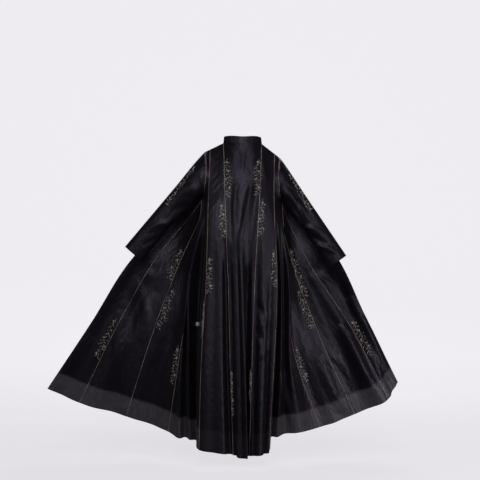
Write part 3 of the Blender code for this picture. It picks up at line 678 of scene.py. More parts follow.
# Sleeves
# Long straight sleeves, each cut in one piece with a seam under it, and set into the armholes by hand.
# They are held out to the sides, so the cloth crumples below the elbow and rucks at the armhole.
CUFF_TOP = {"left": (-0.566, 0.062, -0.495), "right": (0.500, 0.062, -0.538)}
CUFF_BOTTOM = {"left": (-0.482, 0.062, -0.566), "right": (0.408, 0.062, -0.600)}
CUFF_THICKNESS = 0.060
ELBOW_THICKNESS = 0.085
SLEEVE_BOW = 0.020
SLEEVE_RINGS = 88
SLEEVE_GAP = 0.0008
SLEEVE_LENGTH = 0.55
SLEEVE_GIRTH = 0.30
ARMHOLE_BLEND = 0.35
WIDE_ROOT = 0.5

# Columns: side, then share down the sleeve and share round it (0 top, 0.25 back, 0.5 under) at the crease's
# start, middle and end, its height and its half width in metres.
SLEEVE_CREASES = (
    ("left", (0.08, 0.36), (0.22, 0.24), (0.40, 0.16), 0.0060, 0.021),
    ("left", (0.16, 0.46), (0.32, 0.34), (0.52, 0.26), -0.0050, 0.021),
    ("left", (0.30, 0.48), (0.46, 0.38), (0.64, 0.34), 0.0034, 0.020),
    ("left", (0.50, 0.42), (0.62, 0.28), (0.78, 0.18), 0.0048, 0.020),
    ("left", (0.66, 0.48), (0.76, 0.36), (0.90, 0.26), -0.0028, 0.018),
    ("left", (0.04, 0.30), (0.10, 0.18), (0.18, 0.08), 0.0026, 0.014),
    ("left", (0.38, 0.80), (0.55, 0.70), (0.75, 0.72), 0.0036, 0.020),
    ("left", (0.20, 0.62), (0.36, 0.72), (0.52, 0.86), -0.0036, 0.022),
    ("left", (0.60, 0.58), (0.74, 0.66), (0.88, 0.64), 0.0030, 0.018),
    ("right", (0.06, 0.36), (0.18, 0.27), (0.34, 0.32), 0.0080, 0.020),
    ("right", (0.14, 0.46), (0.28, 0.40), (0.44, 0.44), 0.0070, 0.018),
    ("right", (0.22, 0.20), (0.38, 0.18), (0.58, 0.22), -0.0052, 0.022),
    ("right", (0.44, 0.46), (0.56, 0.32), (0.72, 0.20), 0.0066, 0.022),
    ("right", (0.56, 0.46), (0.68, 0.33), (0.82, 0.24), -0.0046, 0.018),
    ("right", (0.70, 0.46), (0.80, 0.30), (0.94, 0.18), 0.0052, 0.018),
    ("right", (0.04, 0.26), (0.10, 0.16), (0.17, 0.08), 0.0026, 0.014),
    ("right", (0.36, 0.78), (0.52, 0.70), (0.74, 0.74), 0.0036, 0.020),
    ("right", (0.20, 0.60), (0.34, 0.70), (0.50, 0.84), -0.0036, 0.022),
    ("right", (0.58, 0.62), (0.70, 0.70), (0.86, 0.64), 0.0030, 0.018),
)


def sleeve_grid(side):
    """The sleeve from the armhole to the cuff: rings down the sleeve by points round it."""
    armhole = ROWS[:ARMHOLE_ROWS]
    back = armhole_edge(side, armhole, -1.0)
    front = armhole_edge(side, armhole, 1.0)
    corners = np.vstack([back, front[-2:0:-1]])
    ring = np.empty((2 * len(corners), 3))
    ring[0::2] = corners
    ring[1::2] = (corners + np.roll(corners, -1, axis=0)) / 2
    tip, foot = corners[0], back[-1]
    cuff_top, cuff_bottom = np.array(CUFF_TOP[side]), np.array(CUFF_BOTTOM[side])
    turn = 2 * math.pi * np.arange(len(ring)) / len(ring)
    grid = []
    for down in np.linspace(0.0, 1.0, SLEEVE_RINGS):
        upper = tip + (cuff_top - tip) * down
        lower = foot + (cuff_bottom - foot) * down + (0.0, 0.0, SLEEVE_BOW * math.sin(math.pi * down))
        root = 1.0 - ease(down / WIDE_ROOT)
        thickness = ELBOW_THICKNESS + (CUFF_THICKNESS - ELBOW_THICKNESS) * down
        thickness += (sum(ARMHOLE_REACH.values()) - ELBOW_THICKNESS) * root
        centre, across = (upper + lower) / 2, (upper - lower) / 2
        oval = centre + np.outer(np.cos(turn), across)
        oval[:, 1] += (ARMHOLE_REACH[1.0] - ARMHOLE_REACH[-1.0]) / 2 * root - np.sin(turn) * thickness / 2
        moved = ring + (centre - (tip + foot) / 2)
        grid.append(moved + (oval - moved) * ease(down / ARMHOLE_BLEND))
    return np.array(grid)


def tube_normals(grid, side):
    """Outward normals of a grid that closes on itself round its columns."""
    wrapped = np.concatenate([grid[:, -1:], grid, grid[:, :1]], axis=1)
    normals = normals_of(wrapped)[:, 1:-1]
    return normals if side == "left" else -normals


def sleeve_lift(side, grid):
    """The creases on one sleeve."""
    down = np.linspace(0.0, 1.0, grid.shape[0])[:, None, None] * SLEEVE_LENGTH
    around = np.arange(grid.shape[1])[None, :, None] / grid.shape[1] * SLEEVE_GIRTH
    share = np.linspace(0.0, 1.0, CREASE_STEPS)
    lift = np.zeros(grid.shape[:2])
    for crease_side, start, middle, end, height, half_width in SLEEVE_CREASES:
        if crease_side != side:
            continue
        path = [crease_line(s, m, e, share) for s, m, e in zip(start, middle, end)]
        gaps = np.sqrt((down - path[0] * SLEEVE_LENGTH) ** 2 + (around - path[1] * SLEEVE_GIRTH) ** 2)
        taper = np.sin(math.pi * share[gaps.argmin(axis=2)]) ** CREASE_TAPER
        lift += height * taper * ridge(gaps.min(axis=2), half_width)
    return lift


sleeves = {}
for side in ("left", "right"):
    grid = sleeve_grid(side)
    grid = grid + tube_normals(grid, side) * sleeve_lift(side, grid)[:, :, None]
    normals = tube_normals(grid, side)
    sleeves[side] = (grid, normals)
    tube = grid.copy()
    tube[0] += unit(grid[1] - grid[0]) * SLEEVE_GAP
    outer, inner = tube + normals * WALL / 2, tube - normals * WALL / 2
    uv = cloth_uv(np.concatenate([tube, tube[:, :1]], axis=1), 0)[:, :-1]
    if side == "right":
        outer, inner, uv = outer[:, ::-1], inner[:, ::-1], uv[:, ::-1]
    mesh = wall_mesh(f"sleeve_{side}_cloth", outer, inner, uv, closed=True)
    piece = add_object(f"sleeve_{side}_cloth", mesh, SATIN, f"sleeve_{side}")

# Collar
# A low stand collar of two layers of the same satin, turned along its top edge and open at the front.
# It stands on the neck seam, reaches just below it, and leans in a little towards the neck.
COLLAR_HEIGHT = 0.034
COLLAR_OVERLAP = 0.0010
COLLAR_LEAN = 0.12
COLLAR_ROWS = 9
COLLAR_THICKNESS = 0.0016
COLLAR_ROUNDING = 0.004
COLLAR_EDGE_SHARE = 0.15


def neckline():
    """The neck seam from the left front corner round the back to the right one."""
    ring = []
    for first, last in (("edge_left", "front_inner_left"), ("back_inner_left", "back_inner_right"),
                        ("front_inner_right", "edge_right")):
        low, high = LINE_NAMES.index(first), LINE_NAMES.index(last)
        grid, _, places = stretch_with(low, high)
        start, stop = column_at(places, low), column_at(places, high)
        ring += list(grid[0, start:stop + 1] if not ring else grid[0, start + 1:stop + 1])
    return np.array(ring)


ring = neckline()
outward = unit(np.cross((0.0, 0.0, -1.0), np.gradient(ring, axis=0)))
rise = np.array([0.0, 0.0, 1.0]) - outward * COLLAR_LEAN
heights = np.linspace(COLLAR_HEIGHT, 0.0, COLLAR_ROWS)
grid = np.array([ring - (0.0, 0.0, COLLAR_OVERLAP) + rise * height for height in heights])
near_top = np.clip((heights - COLLAR_HEIGHT) / COLLAR_ROUNDING + 1.0, 0.0, 1.0)
thickness = COLLAR_THICKNESS / 2 * np.sqrt(np.clip(1.0 - near_top ** 2, COLLAR_EDGE_SHARE, 1.0))
offset = outward * thickness[:, None, None]
mesh = wall_mesh("collar_cloth", grid + offset, grid - offset, cloth_uv(grid, grid.shape[1] // 2))
piece = add_object("collar_cloth", mesh, SATIN, "collar")

# Braids
# A narrow gimp of metal thread, couched over all long seams, the shoulder and sleeve seams and the armholes.
# Its links lean left and right in turn over a round core, and its colour drifts from gold to pink and violet.
BRAIDED_SEAMS = ("front_inner", "front_outer", "side", "back_outer", "back_inner")
LINK_PITCH = 0.0022
LINK_SIZE = (0.0016, 0.0006, 0.0006)
LINK_LEAN = math.radians(32)
LINK_OFFSET = 0.0003
CORE_RADIUS = 0.0005
CORE_PITCH = 0.009
CORE_SIDES = 6
BRAID_LIFT = 0.0009
BRAID_START = 0.0026
SHOULDER_POINTS = 12
ARMHOLE_BRAID_GAP = 8
ARMHOLE_BRAID_TILT = 0.3


def new_growth(name, *inputs):
    """An empty Geometry Nodes tree with a geometry in and out and named inputs."""
    tree = bpy.data.node_groups.new(name, "GeometryNodeTree")
    sockets = tree.interface
    for label, kind in (("Geometry", "Geometry"), *inputs):
        sockets.new_socket(label, in_out="INPUT", socket_type=f"NodeSocket{kind}")
    sockets.new_socket("Geometry", in_out="OUTPUT", socket_type="NodeSocketGeometry")
    return tree, tree.nodes.new("NodeGroupInput").outputs, tree.nodes.new("NodeGroupOutput")


def named(tree, name):
    """The direction or size that each point carries under a name."""
    return wired(tree, "GeometryNodeInputNamedAttribute", {"Name": name}, "Attribute",
                 data_type="FLOAT_VECTOR")


def turned(tree, along, facing):
    """A rotation whose X runs along the path and whose Z stands off the cloth."""
    first = wired(tree, "FunctionNodeAlignRotationToVector", {"Vector": along}, axis="X")
    return wired(tree, "FunctionNodeAlignRotationToVector", {"Rotation": first, "Vector": facing},
                 axis="Z", pivot_axis="X")


def evenly(tree, path, pitch):
    """A path with its points spaced evenly, at a pitch."""
    return wired(tree, "GeometryNodeResampleCurve", {"Curve": path, "Length": pitch}, mode="LENGTH")


def balls_on(tree, points, rotation, size, roundness=1):
    """A small ball on each point, turned and stretched to its size."""
    ball = wired(tree, "GeometryNodeMeshIcoSphere", {"Radius": 1.0, "Subdivisions": roundness})
    return wired(tree, "GeometryNodeInstanceOnPoints",
                 {"Points": points, "Instance": ball, "Rotation": rotation, "Scale": size})


def finish_growth(tree, given, end, *grown_parts):
    """Joins what has grown, makes its copies real and gives it its finish."""
    joined = tree.nodes.new("GeometryNodeJoinGeometry")
    for part in grown_parts:
        tree.links.new(part, joined.inputs[0])
    real = wired(tree, "GeometryNodeRealizeInstances", {0: joined.outputs[0]})
    finish = wired(tree, "GeometryNodeSetMaterial", {"Geometry": real, "Material": given["Finish"]})
    tree.links.new(finish, end.inputs[0])


def grown(name, mesh, tree, values, *nodes):
    """The plain mesh that a tree grows from a starting mesh, as a piece on the cloak."""
    source = bpy.data.objects.new(name + "_source", mesh)
    bpy.context.scene.collection.objects.link(source)
    modifier = source.modifiers.new("grow", "NODES")
    modifier.node_group = tree
    for socket in tree.interface.items_tree:
        if socket.in_out == "INPUT" and socket.name in values:
            modifier[socket.identifier] = values[socket.name]
    ready = source.evaluated_get(bpy.context.evaluated_depsgraph_get())
    result = bpy.data.meshes.new_from_object(ready)
    result.name = name
    bpy.data.objects.remove(source, do_unlink=True)
    result.shade_smooth()
    return add_object(name, result, None, *nodes)


def braid_growth():
    """Links leaning left and right in turn along a path, over a thin round core."""
    tree, given, end = new_growth("braid", ("Pitch", "Float"), ("Link size", "Vector"), ("Lean", "Float"),
                                  ("Offset", "Float"), ("Core radius", "Float"), ("Core pitch", "Float"),
                                  ("Finish", "Material"))
    path = wired(tree, "GeometryNodeMeshToCurve", {"Mesh": given["Geometry"]})
    tangent = wired(tree, "GeometryNodeInputTangent")
    facing = named(tree, "facing")
    index = wired(tree, "GeometryNodeInputIndex")
    odd = wired(tree, "ShaderNodeMath", {0: index, 1: 2.0}, operation="MODULO")
    sign = wired(tree, "ShaderNodeMath", {0: odd, 1: 2.0, 2: -1.0}, operation="MULTIPLY_ADD")
    lean = wired(tree, "ShaderNodeMath", {0: sign, 1: given["Lean"]}, operation="MULTIPLY")
    angles = wired(tree, "ShaderNodeCombineXYZ", {"Z": lean})
    by_lean = wired(tree, "FunctionNodeEulerToRotation", {0: angles})
    leaned = wired(tree, "FunctionNodeRotateRotation",
                   {"Rotation": turned(tree, tangent, facing), "Rotate By": by_lean}, rotation_space="LOCAL")
    sideways = wired(tree, "ShaderNodeVectorMath", {0: facing, 1: tangent}, operation="CROSS_PRODUCT")
    step = wired(tree, "ShaderNodeMath", {0: sign, 1: given["Offset"]}, operation="MULTIPLY")
    shift = wired(tree, "ShaderNodeVectorMath", {0: sideways, "Scale": step}, operation="SCALE")
    even = evenly(tree, path, given["Pitch"])
    placed = wired(tree, "GeometryNodeSetPosition", {"Geometry": even, "Offset": shift})
    links = balls_on(tree, placed, leaned, given["Link size"])
    circle = wired(tree, "GeometryNodeCurvePrimitiveCircle",
                   {"Resolution": CORE_SIDES, "Radius": given["Core radius"]}, "Curve")
    core = wired(tree, "GeometryNodeCurveToMesh", {
        "Curve": evenly(tree, path, given["Core pitch"]), "Profile Curve": circle, "Fill Caps": True})
    finish_growth(tree, given, end, links, core)
    return tree


def path_mesh(name, points, facing):
    """A line of points that carries the direction it faces."""
    mesh = bpy.data.meshes.new(name)
    mesh.from_pydata(points.tolist(), [(k, k + 1) for k in range(len(points) - 1)], [])
    layer = mesh.attributes.new("facing", "FLOAT_VECTOR", "POINT")
    layer.data.foreach_set("vector", facing.ravel().astype(np.float32))
    return mesh


def braid_material():
    """Metal thread: gold to cream, with stretches of pink and violet, and a little tarnish."""
    finish, tree, shader = new_finish("metal_thread_braid", {"Metallic": 0.3})
    tint = colour_steps(tree, object_noise(tree, 9.0), (0.36, (0.50, 0.24, 0.56)), (0.45, (0.84, 0.40, 0.44)),
                        (0.53, (0.82, 0.74, 0.64)), (0.66, (0.70, 0.60, 0.42)))
    dull = wired(tree, "ShaderNodeMapRange",
                 {"Value": object_noise(tree, 420.0), "To Min": 0.22, "To Max": 0.5})
    tree.links.new(tint, shader.inputs["Base Color"])
    tree.links.new(dull, shader.inputs["Roughness"])
    return finish


BRAID_GROWTH = braid_growth()
BRAID_VALUES = {"Pitch": LINK_PITCH, "Link size": LINK_SIZE, "Lean": LINK_LEAN, "Offset": LINK_OFFSET,
                "Core radius": CORE_RADIUS, "Core pitch": CORE_PITCH, "Finish": braid_material()}


def add_braid(node, points, facing):
    """One braid along a seam, in place of its solid."""
    points = points + facing * BRAID_LIFT
    points[0] += unit(points[1] - points[0]) * BRAID_START
    piece = grown(node + "_braid", path_mesh(node, points, facing), BRAID_GROWTH, BRAID_VALUES, node)


for name in LINE_NAMES:
    kind, side = name.rsplit("_", 1)
    if kind not in BRAIDED_SEAMS:
        continue
    place = LINE_NAMES.index(name)
    grid, normals, places = stretch_with(place, place)
    column = column_at(places, place)
    top = ARMHOLE_ROWS - 1 if kind == "side" else 0
    add_braid(f"trim_{name}", grid[top:, column], normals[top:, column])
for side in ("left", "right"):
    neck, tip = np.array(NECK_POINT[side]), np.array(SHOULDER_TIP[side])
    shares = np.linspace(0.0, 1.0, SHOULDER_POINTS)[:, None]
    upward = np.repeat(shoulder_normal(side)[None, :], len(shares), axis=0)
    add_braid(f"trim_shoulder_{side}", neck + (tip - neck) * shares, upward)
    grid, normals = sleeves[side]
    add_braid(f"trim_sleeve_{side}", grid[:, 0], normals[:, 0])
    half = 2 * (ARMHOLE_ROWS - 1) - ARMHOLE_BRAID_GAP
    round_top = np.arange(-half, half + 1)
    facing = unit(normals[1, round_top] + (0.0, 0.0, ARMHOLE_BRAID_TILT))
    add_braid(f"trim_armhole_{side}", grid[0, round_top], facing)

# Bead sprays
# Glass seed beads, leaf-shaped sequins and small rosettes, sewn by hand beside the seams as upright sprays.
# The layout is a plain made-up one: a wavy stem, leafy sprigs on both sides, and a rosette every so often.
# A row of pale seed beads follows the top of each armhole.
SPRAY_HALF_WIDTH = 0.016
STEM_PITCH = 0.0032
STEM_WAVE = 0.0045
STEM_WAVELENGTH = 0.062
SPRIG_PITCH = 0.0080
SPRIG_STEPS = 5
SPRIG_REACH = 1.4
SPRIG_ENDS, SPRIG_MIDDLE, SPRIG_CHANGE = 0.45, 0.55, 0.12
SPRIG_LEAN = math.radians(34)
SPRIG_CURL = 0.16
LEAF_SPREAD = math.radians(48)
LEAF_REACH = 0.0024
ROSETTE_PITCH = 0.040
ROSETTE_RADIUS = 0.0036
ROSETTE_OFFSET = 0.4
PETALS = 7
LOOSE_BEADS = 40
SEED_BEAD = (0.0012, 0.0012, 0.0009)
LEAF_BEAD = (0.0023, 0.0011, 0.0008)
PETAL_BEAD = (0.0019, 0.0012, 0.0009)
CRYSTAL = (0.0024, 0.0024, 0.0016)
SILVER_TONE, GOLD_TONE = 0.98, 0.80
BEAD_LIFT = 0.0006
PEARL_ROW = 1
PEARL_REACH = 13
PEARL_STEP = 0.5
PEARL_TONE = 0.97

# Columns: piece it belongs to, seam line, distance from the seam (towards +X is above zero),
# the heights of its top and foot, and its width as a share of a full one.
SPRAYS = (
    ("back", "back_inner_left", 0.015, -0.076, -0.262, 1.0),
    ("back", "back_inner_left", -0.015, -0.284, -0.456, 0.9),
    ("back", "back_inner_right", -0.015, -0.078, -0.254, 1.0),
    ("back", "back_inner_right", 0.016, -0.264, -0.446, 0.9),
    ("back", "back_outer_left", 0.016, -0.540, -0.722, 0.9),
    ("back", "back_outer_right", -0.016, -0.516, -0.690, 0.9),
    ("back", "back_outer_left", -0.008, -0.746, -0.930, 0.4),
    ("back", "back_inner_left", 0.006, -1.070, -1.290, 0.3),
    ("back", "back_inner_right", -0.006, -1.070, -1.225, 0.3),
    ("left_front", "front_outer_left", -0.022, -0.506, -0.662, 1.0),
    ("left_front", "front_outer_left", 0.022, -0.690, -0.890, 1.0),
    ("left_front", "front_inner_left", -0.022, -0.850, -1.050, 1.0),
    ("left_front", "side_left", -0.020, -0.980, -1.165, 0.8),
    ("right_front", "front_outer_right", 0.018, -0.515, -0.752, 1.0),
    ("right_front", "front_outer_right", -0.018, -0.690, -0.895, 1.0),
    ("right_front", "front_inner_right", 0.024, -0.860, -1.050, 1.0),
    ("right_front", "side_right", 0.022, -0.980, -1.165, 0.9),
)
# Columns: side, distance from the top seam round the back, and the shares down the sleeve of its two ends.
SLEEVE_SPRAYS = (("left", 0.040, 0.12, 0.50), ("right", 0.038, 0.14, 0.50))


def spray_beads(length, width, rng):
    """The beads of one spray: distance along, distance across, turn, size and colour share."""
    beads = []
    reach = SPRAY_HALF_WIDTH * width

    def stem(along):
        return STEM_WAVE * width * math.sin(2 * math.pi * along / STEM_WAVELENGTH)

    for k in range(int(length / STEM_PITCH)):
        along = k * STEM_PITCH
        beads.append((along, stem(along), 0.0, SEED_BEAD, rng.random()))
    for k in range(1, int(length / SPRIG_PITCH)):
        along, side = k * SPRIG_PITCH, (-1) ** k
        across = stem(along)
        fullness = SPRIG_ENDS + SPRIG_MIDDLE * math.sin(math.pi * along / length)
        fullness += rng.uniform(-SPRIG_CHANGE, SPRIG_CHANGE)
        step = SPRIG_REACH * reach * fullness / SPRIG_STEPS
        for leaf in range(SPRIG_STEPS):
            lean = SPRIG_LEAN + SPRIG_CURL * leaf
            along += step * math.cos(lean)
            across += side * step * math.sin(lean)
            turn = side * lean + LEAF_SPREAD * (-1) ** leaf
            beads.append((along, across, side * lean, SEED_BEAD, rng.random()))
            tip = (along + LEAF_REACH * math.cos(turn), across + LEAF_REACH * math.sin(turn))
            beads.append((*tip, turn, LEAF_BEAD, rng.random()))
    for k in range(int(length / ROSETTE_PITCH)):
        centre = (k + 0.5) * ROSETTE_PITCH
        across = stem(centre) - ROSETTE_OFFSET * reach * (-1) ** k
        beads.append((centre, across, 0.0, CRYSTAL, SILVER_TONE if k % 2 else GOLD_TONE))
        for petal in range(PETALS):
            turn = 2 * math.pi * petal / PETALS
            place = (centre + ROSETTE_RADIUS * math.cos(turn), across + ROSETTE_RADIUS * math.sin(turn))
            beads.append((*place, turn, PETAL_BEAD, rng.random()))
    for _ in range(LOOSE_BEADS):
        spread = rng.uniform(-1, 1) * reach
        beads.append((rng.uniform(0, length), spread, 0.0, SEED_BEAD, rng.random()))
    return beads


def on_grid(grid, normals, row, columns):
    """Points and normals along one row of a grid, the row being a float."""
    low = min(int(row), len(grid) - 2)
    share = row - low
    return (grid[low][columns] * (1 - share) + grid[low + 1][columns] * share,
            unit(normals[low][columns] * (1 - share) + normals[low + 1][columns] * share))


def read_across(points, normals, seam, distance):
    """The point and normal at a signed distance across the cloth from one of a row's points."""
    steps = np.linalg.norm(np.diff(points, axis=0), axis=1)
    lengths = np.concatenate([[0.0], np.cumsum(steps)])
    place = lengths[seam] + distance
    return (np.array([np.interp(place, lengths, points[:, k]) for k in range(3)]),
            unit(np.array([np.interp(place, lengths, normals[:, k]) for k in range(3)])))


def bead_mesh(name, beads):
    """Points with the direction, facing, size and colour share of each bead."""
    mesh = bpy.data.meshes.new(name)
    mesh.from_pydata([tuple(bead[0]) for bead in beads], [], [])
    for label, column in (("along", 1), ("facing", 2), ("size", 3)):
        layer = mesh.attributes.new(label, "FLOAT_VECTOR", "POINT")
        layer.data.foreach_set("vector", np.array([bead[column] for bead in beads], dtype=np.float32).ravel())
    layer = mesh.attributes.new("tone", "FLOAT", "POINT")
    layer.data.foreach_set("value", np.array([bead[4] for bead in beads], dtype=np.float32))
    return mesh


def bead_growth():
    """One rounded bead on each point, turned and sized by the point's own values."""
    tree, given, end = new_growth("sewn_beads", ("Roundness", "Int"), ("Finish", "Material"))
    rotation = turned(tree, named(tree, "along"), named(tree, "facing"))
    beads = balls_on(tree, given["Geometry"], rotation, named(tree, "size"), given["Roundness"])
    finish_growth(tree, given, end, beads)
    return tree


def bead_material():
    """Glass and metal beads: mostly pewter and silver, with cream, gold and a few red and green ones."""
    finish, tree, shader = new_finish("glass_beads", {"Metallic": 0.08})
    tone = wired(tree, "ShaderNodeAttribute", output="Fac", attribute_name="tone")
    colours = colour_steps(
        tree, tone, (0.0, (0.030, 0.028, 0.032)), (0.36, (0.22, 0.20, 0.20)), (0.52, (0.62, 0.59, 0.53)),
        (0.66, (0.95, 0.93, 0.86)), (0.80, (0.62, 0.46, 0.24)), (0.84, (0.72, 0.16, 0.06)),
        (0.87, (0.08, 0.26, 0.15)), (0.90, (0.98, 0.97, 0.93)), blend="CONSTANT")
    gloss = wired(tree, "ShaderNodeMapRange",
                  {"Value": object_noise(tree, 900.0), "To Min": 0.06, "To Max": 0.32})
    tree.links.new(colours, shader.inputs["Base Color"])
    tree.links.new(gloss, shader.inputs["Roughness"])
    return finish


BEADS = bead_material()
BEAD_GROWTH = bead_growth()
rng = random.Random(11)
groups = {"back": [], "left_front": [], "right_front": [], "sleeve_left": [], "sleeve_right": []}


def sew_bead(group, cloth_rows, seam, distance, turn, size, tone):
    """Lays one bead on the cloth, turned away from the way down, at a distance across from a seam."""
    here, below = cloth_rows
    point, out = read_across(*here, seam, distance)
    next_point, _ = read_across(*below, seam, distance)
    down = unit(next_point - point)
    along = unit(down * math.cos(turn) + np.cross(out, down) * math.sin(turn))
    groups[group].append((point + out * (WALL / 2 + BEAD_LIFT), along, out, size, tone))


for group, line, distance, top, foot, width in SPRAYS:
    place = LINE_NAMES.index(line)
    beside = place + math.copysign(0.5, distance)
    grid, normals, places = stretch_with(beside, beside)
    seam, columns = column_at(places, place), np.arange(grid.shape[1])
    for along, across, turn, size, tone in spray_beads(top - foot, width, rng):
        row = np.interp(along - top, -grid[:, seam, 2], np.arange(len(grid)))
        cloth_rows = [on_grid(grid, normals, r, columns) for r in (row, row + 1.0)]
        sew_bead(group, cloth_rows, seam, distance + across, turn, size, tone)
for side, distance, start, stop in SLEEVE_SPRAYS:
    grid, normals = sleeves[side]
    columns = np.arange(grid.shape[1] // 2)
    for along, across, turn, size, tone in spray_beads((stop - start) * SLEEVE_LENGTH, 1.0, rng):
        row = (start + along / SLEEVE_LENGTH) * (len(grid) - 1)
        cloth_rows = [on_grid(grid, normals, r, columns) for r in (row, row + 1.0)]
        sew_bead(f"sleeve_{side}", cloth_rows, 0, distance + across, turn, size, tone)
for side in ("left", "right"):
    grid, normals = sleeves[side]
    count = grid.shape[1]
    for column in np.arange(-PEARL_REACH, PEARL_REACH + 1, PEARL_STEP):
        low = int(math.floor(column))
        share = column - low
        ends = [(grid[PEARL_ROW, k % count], normals[PEARL_ROW, k % count]) for k in (low, low + 1)]
        point, out = (ends[0][k] * (1 - share) + ends[1][k] * share for k in (0, 1))
        out = unit(out)
        along = unit(ends[1][0] - ends[0][0])
        point = point + out * (WALL / 2 + BEAD_LIFT)
        groups[f"sleeve_{side}"].append((point, along, out, SEED_BEAD, PEARL_TONE))
for group, beads in groups.items():
    name = f"beads_{group}"
    grown(name, bead_mesh(name, beads), BEAD_GROWTH, {"Roundness": 1, "Finish": BEADS})

# Crystal button
# A single clear faceted stone in a claw setting, sewn in the deep fold beside the left back.
# It is the one bright spot on the back.
STONE_RADIUS = 0.0110
STONE_HEIGHT = 0.0075
STONE_SIDES = 10
STONE_RINGS = ((0.55, 0.0), (1.0, 0.30), (1.0, 0.42), (0.62, 1.0))
STONE_PLACE = ("valley_high_left", -0.866)
CLAWS = 6
CLAW_SIZE = (0.0036, 0.0014, 0.0010)
CLAW_HEIGHT = 0.4
CLAW_TONE = 0.81


def crystal_material():
    """Clear cut glass over silver foil."""
    finish, tree, shader = new_finish("cut_crystal",
                                      {"Metallic": 0.35, "Roughness": 0.06, "Coat Weight": 0.6})
    foil = colour_steps(tree, object_noise(tree, 260.0), (0.0, (0.62, 0.63, 0.64)), (1.0, (0.95, 0.95, 0.94)))
    tree.links.new(foil, shader.inputs["Base Color"])
    return finish


def stone_mesh(centre, out, side, up):
    """A round stone of flat facets: a ring of points for each of its levels, closed at both ends."""
    vertices = []
    for reach, rise in STONE_RINGS:
        for k in range(STONE_SIDES):
            turn = 2 * math.pi * k / STONE_SIDES
            flat = (side * math.cos(turn) + up * math.sin(turn)) * reach * STONE_RADIUS
            vertices.append(tuple(centre + flat + out * (WALL + rise * STONE_HEIGHT)))
    top = (len(STONE_RINGS) - 1) * STONE_SIDES
    faces = [tuple(range(STONE_SIDES)), tuple(reversed(range(top, top + STONE_SIDES)))]
    for low in range(0, top, STONE_SIDES):
        high = low + STONE_SIDES
        for k in range(STONE_SIDES):
            n = (k + 1) % STONE_SIDES
            faces.append((low + n, low + k, high + k, high + n))
    mesh = bpy.data.meshes.new("crystal_button")
    mesh.from_pydata(vertices, [], faces)
    mesh.update()
    return mesh


def add_crystal():
    """The stone, and the claws round its rim."""
    line, height = STONE_PLACE
    grid, normals, places = cloth["side_left"]
    fold = column_at(places, LINE_NAMES.index(line))
    row = np.interp(-height, -grid[:, fold, 2], np.arange(len(grid)))
    centre, out = read_across(*on_grid(grid, normals, row, np.arange(grid.shape[1])), fold, 0.0)
    side = unit(np.cross(out, (0.0, 0.0, 1.0)))
    up = np.cross(side, out)
    add_object("crystal_button", stone_mesh(centre, out, side, up), crystal_material())
    claws = []
    for k in range(CLAWS):
        turn = 2 * math.pi * (k + 0.5) / CLAWS
        spoke = side * math.cos(turn) + up * math.sin(turn)
        foot = centre + spoke * STONE_RADIUS + out * (WALL + STONE_HEIGHT * CLAW_HEIGHT)
        claws.append((foot, out, spoke, CLAW_SIZE, CLAW_TONE))
    grown("crystal_claws", bead_mesh("crystal_claws", claws), BEAD_GROWTH, {"Roundness": 2, "Finish": BEADS})


add_crystal()

# Hem and edge stitching
# The turned-up hem is held by one row of black stitches, and both front edges and the cuffs by another.
# Each stitch is a short thread lying on the cloth.
STITCH_PITCH = 0.0042
STITCH_SIZE = (0.0014, 0.00028, 0.00022)
EDGE_INSET = 0.007
EDGE_FIRST_ROW = 2
CUFF_STITCH_PLACE = 0.965


def thread_material():
    """Black polyester thread with a faint shine."""
    finish, tree, shader = new_finish("black_thread", {"Roughness": 0.45})
    shade = colour_steps(tree, object_noise(tree, 1500.0),
                         (0.0, (0.006, 0.006, 0.007)), (1.0, (0.030, 0.028, 0.031)))
    tree.links.new(shade, shader.inputs["Base Color"])
    return finish


def stitch_growth():
    """Short threads at an even pitch along a path, lying flat on the cloth."""
    tree, given, end = new_growth("stitches", ("Pitch", "Float"), ("Stitch size", "Vector"),
                                  ("Finish", "Material"))
    path = wired(tree, "GeometryNodeMeshToCurve", {"Mesh": given["Geometry"]})
    rotation = turned(tree, wired(tree, "GeometryNodeInputTangent"), named(tree, "facing"))
    threads = balls_on(tree, evenly(tree, path, given["Pitch"]), rotation, given["Stitch size"])
    finish_growth(tree, given, end, threads)
    return tree


STITCH_VALUES = {"Pitch": STITCH_PITCH, "Stitch size": STITCH_SIZE, "Finish": thread_material()}
STITCH_GROWTH = stitch_growth()


def add_stitches(name, points, facing):
    """One row of stitches on the face of the cloth."""
    grown(name, path_mesh(name, points + facing * WALL / 2, facing), STITCH_GROWTH, STITCH_VALUES)


hem_row = ARMHOLE_ROWS + BODY_ROWS - 1
for first, (grid, normals, _) in cloth.items():
    add_stitches(f"hem_stitches_{first}", grid[hem_row], normals[hem_row])
for side, first in (("left", "edge_left"), ("right", "side_right")):
    grid, normals, _ = cloth[first]
    edge, distance = (0, EDGE_INSET) if side == "left" else (grid.shape[1] - 1, -EDGE_INSET)
    line = [read_across(grid[r], normals[r], edge, distance) for r in range(EDGE_FIRST_ROW, len(grid))]
    add_stitches(f"edge_stitches_{side}", np.array([p for p, _ in line]), np.array([n for _, n in line]))
    grid, normals = sleeves[side]
    ring = int(len(grid) * CUFF_STITCH_PLACE)
    add_stitches(f"cuff_stitches_{side}", np.vstack([grid[ring], grid[ring][:1]]),
                 np.vstack([normals[ring], normals[ring][:1]]))

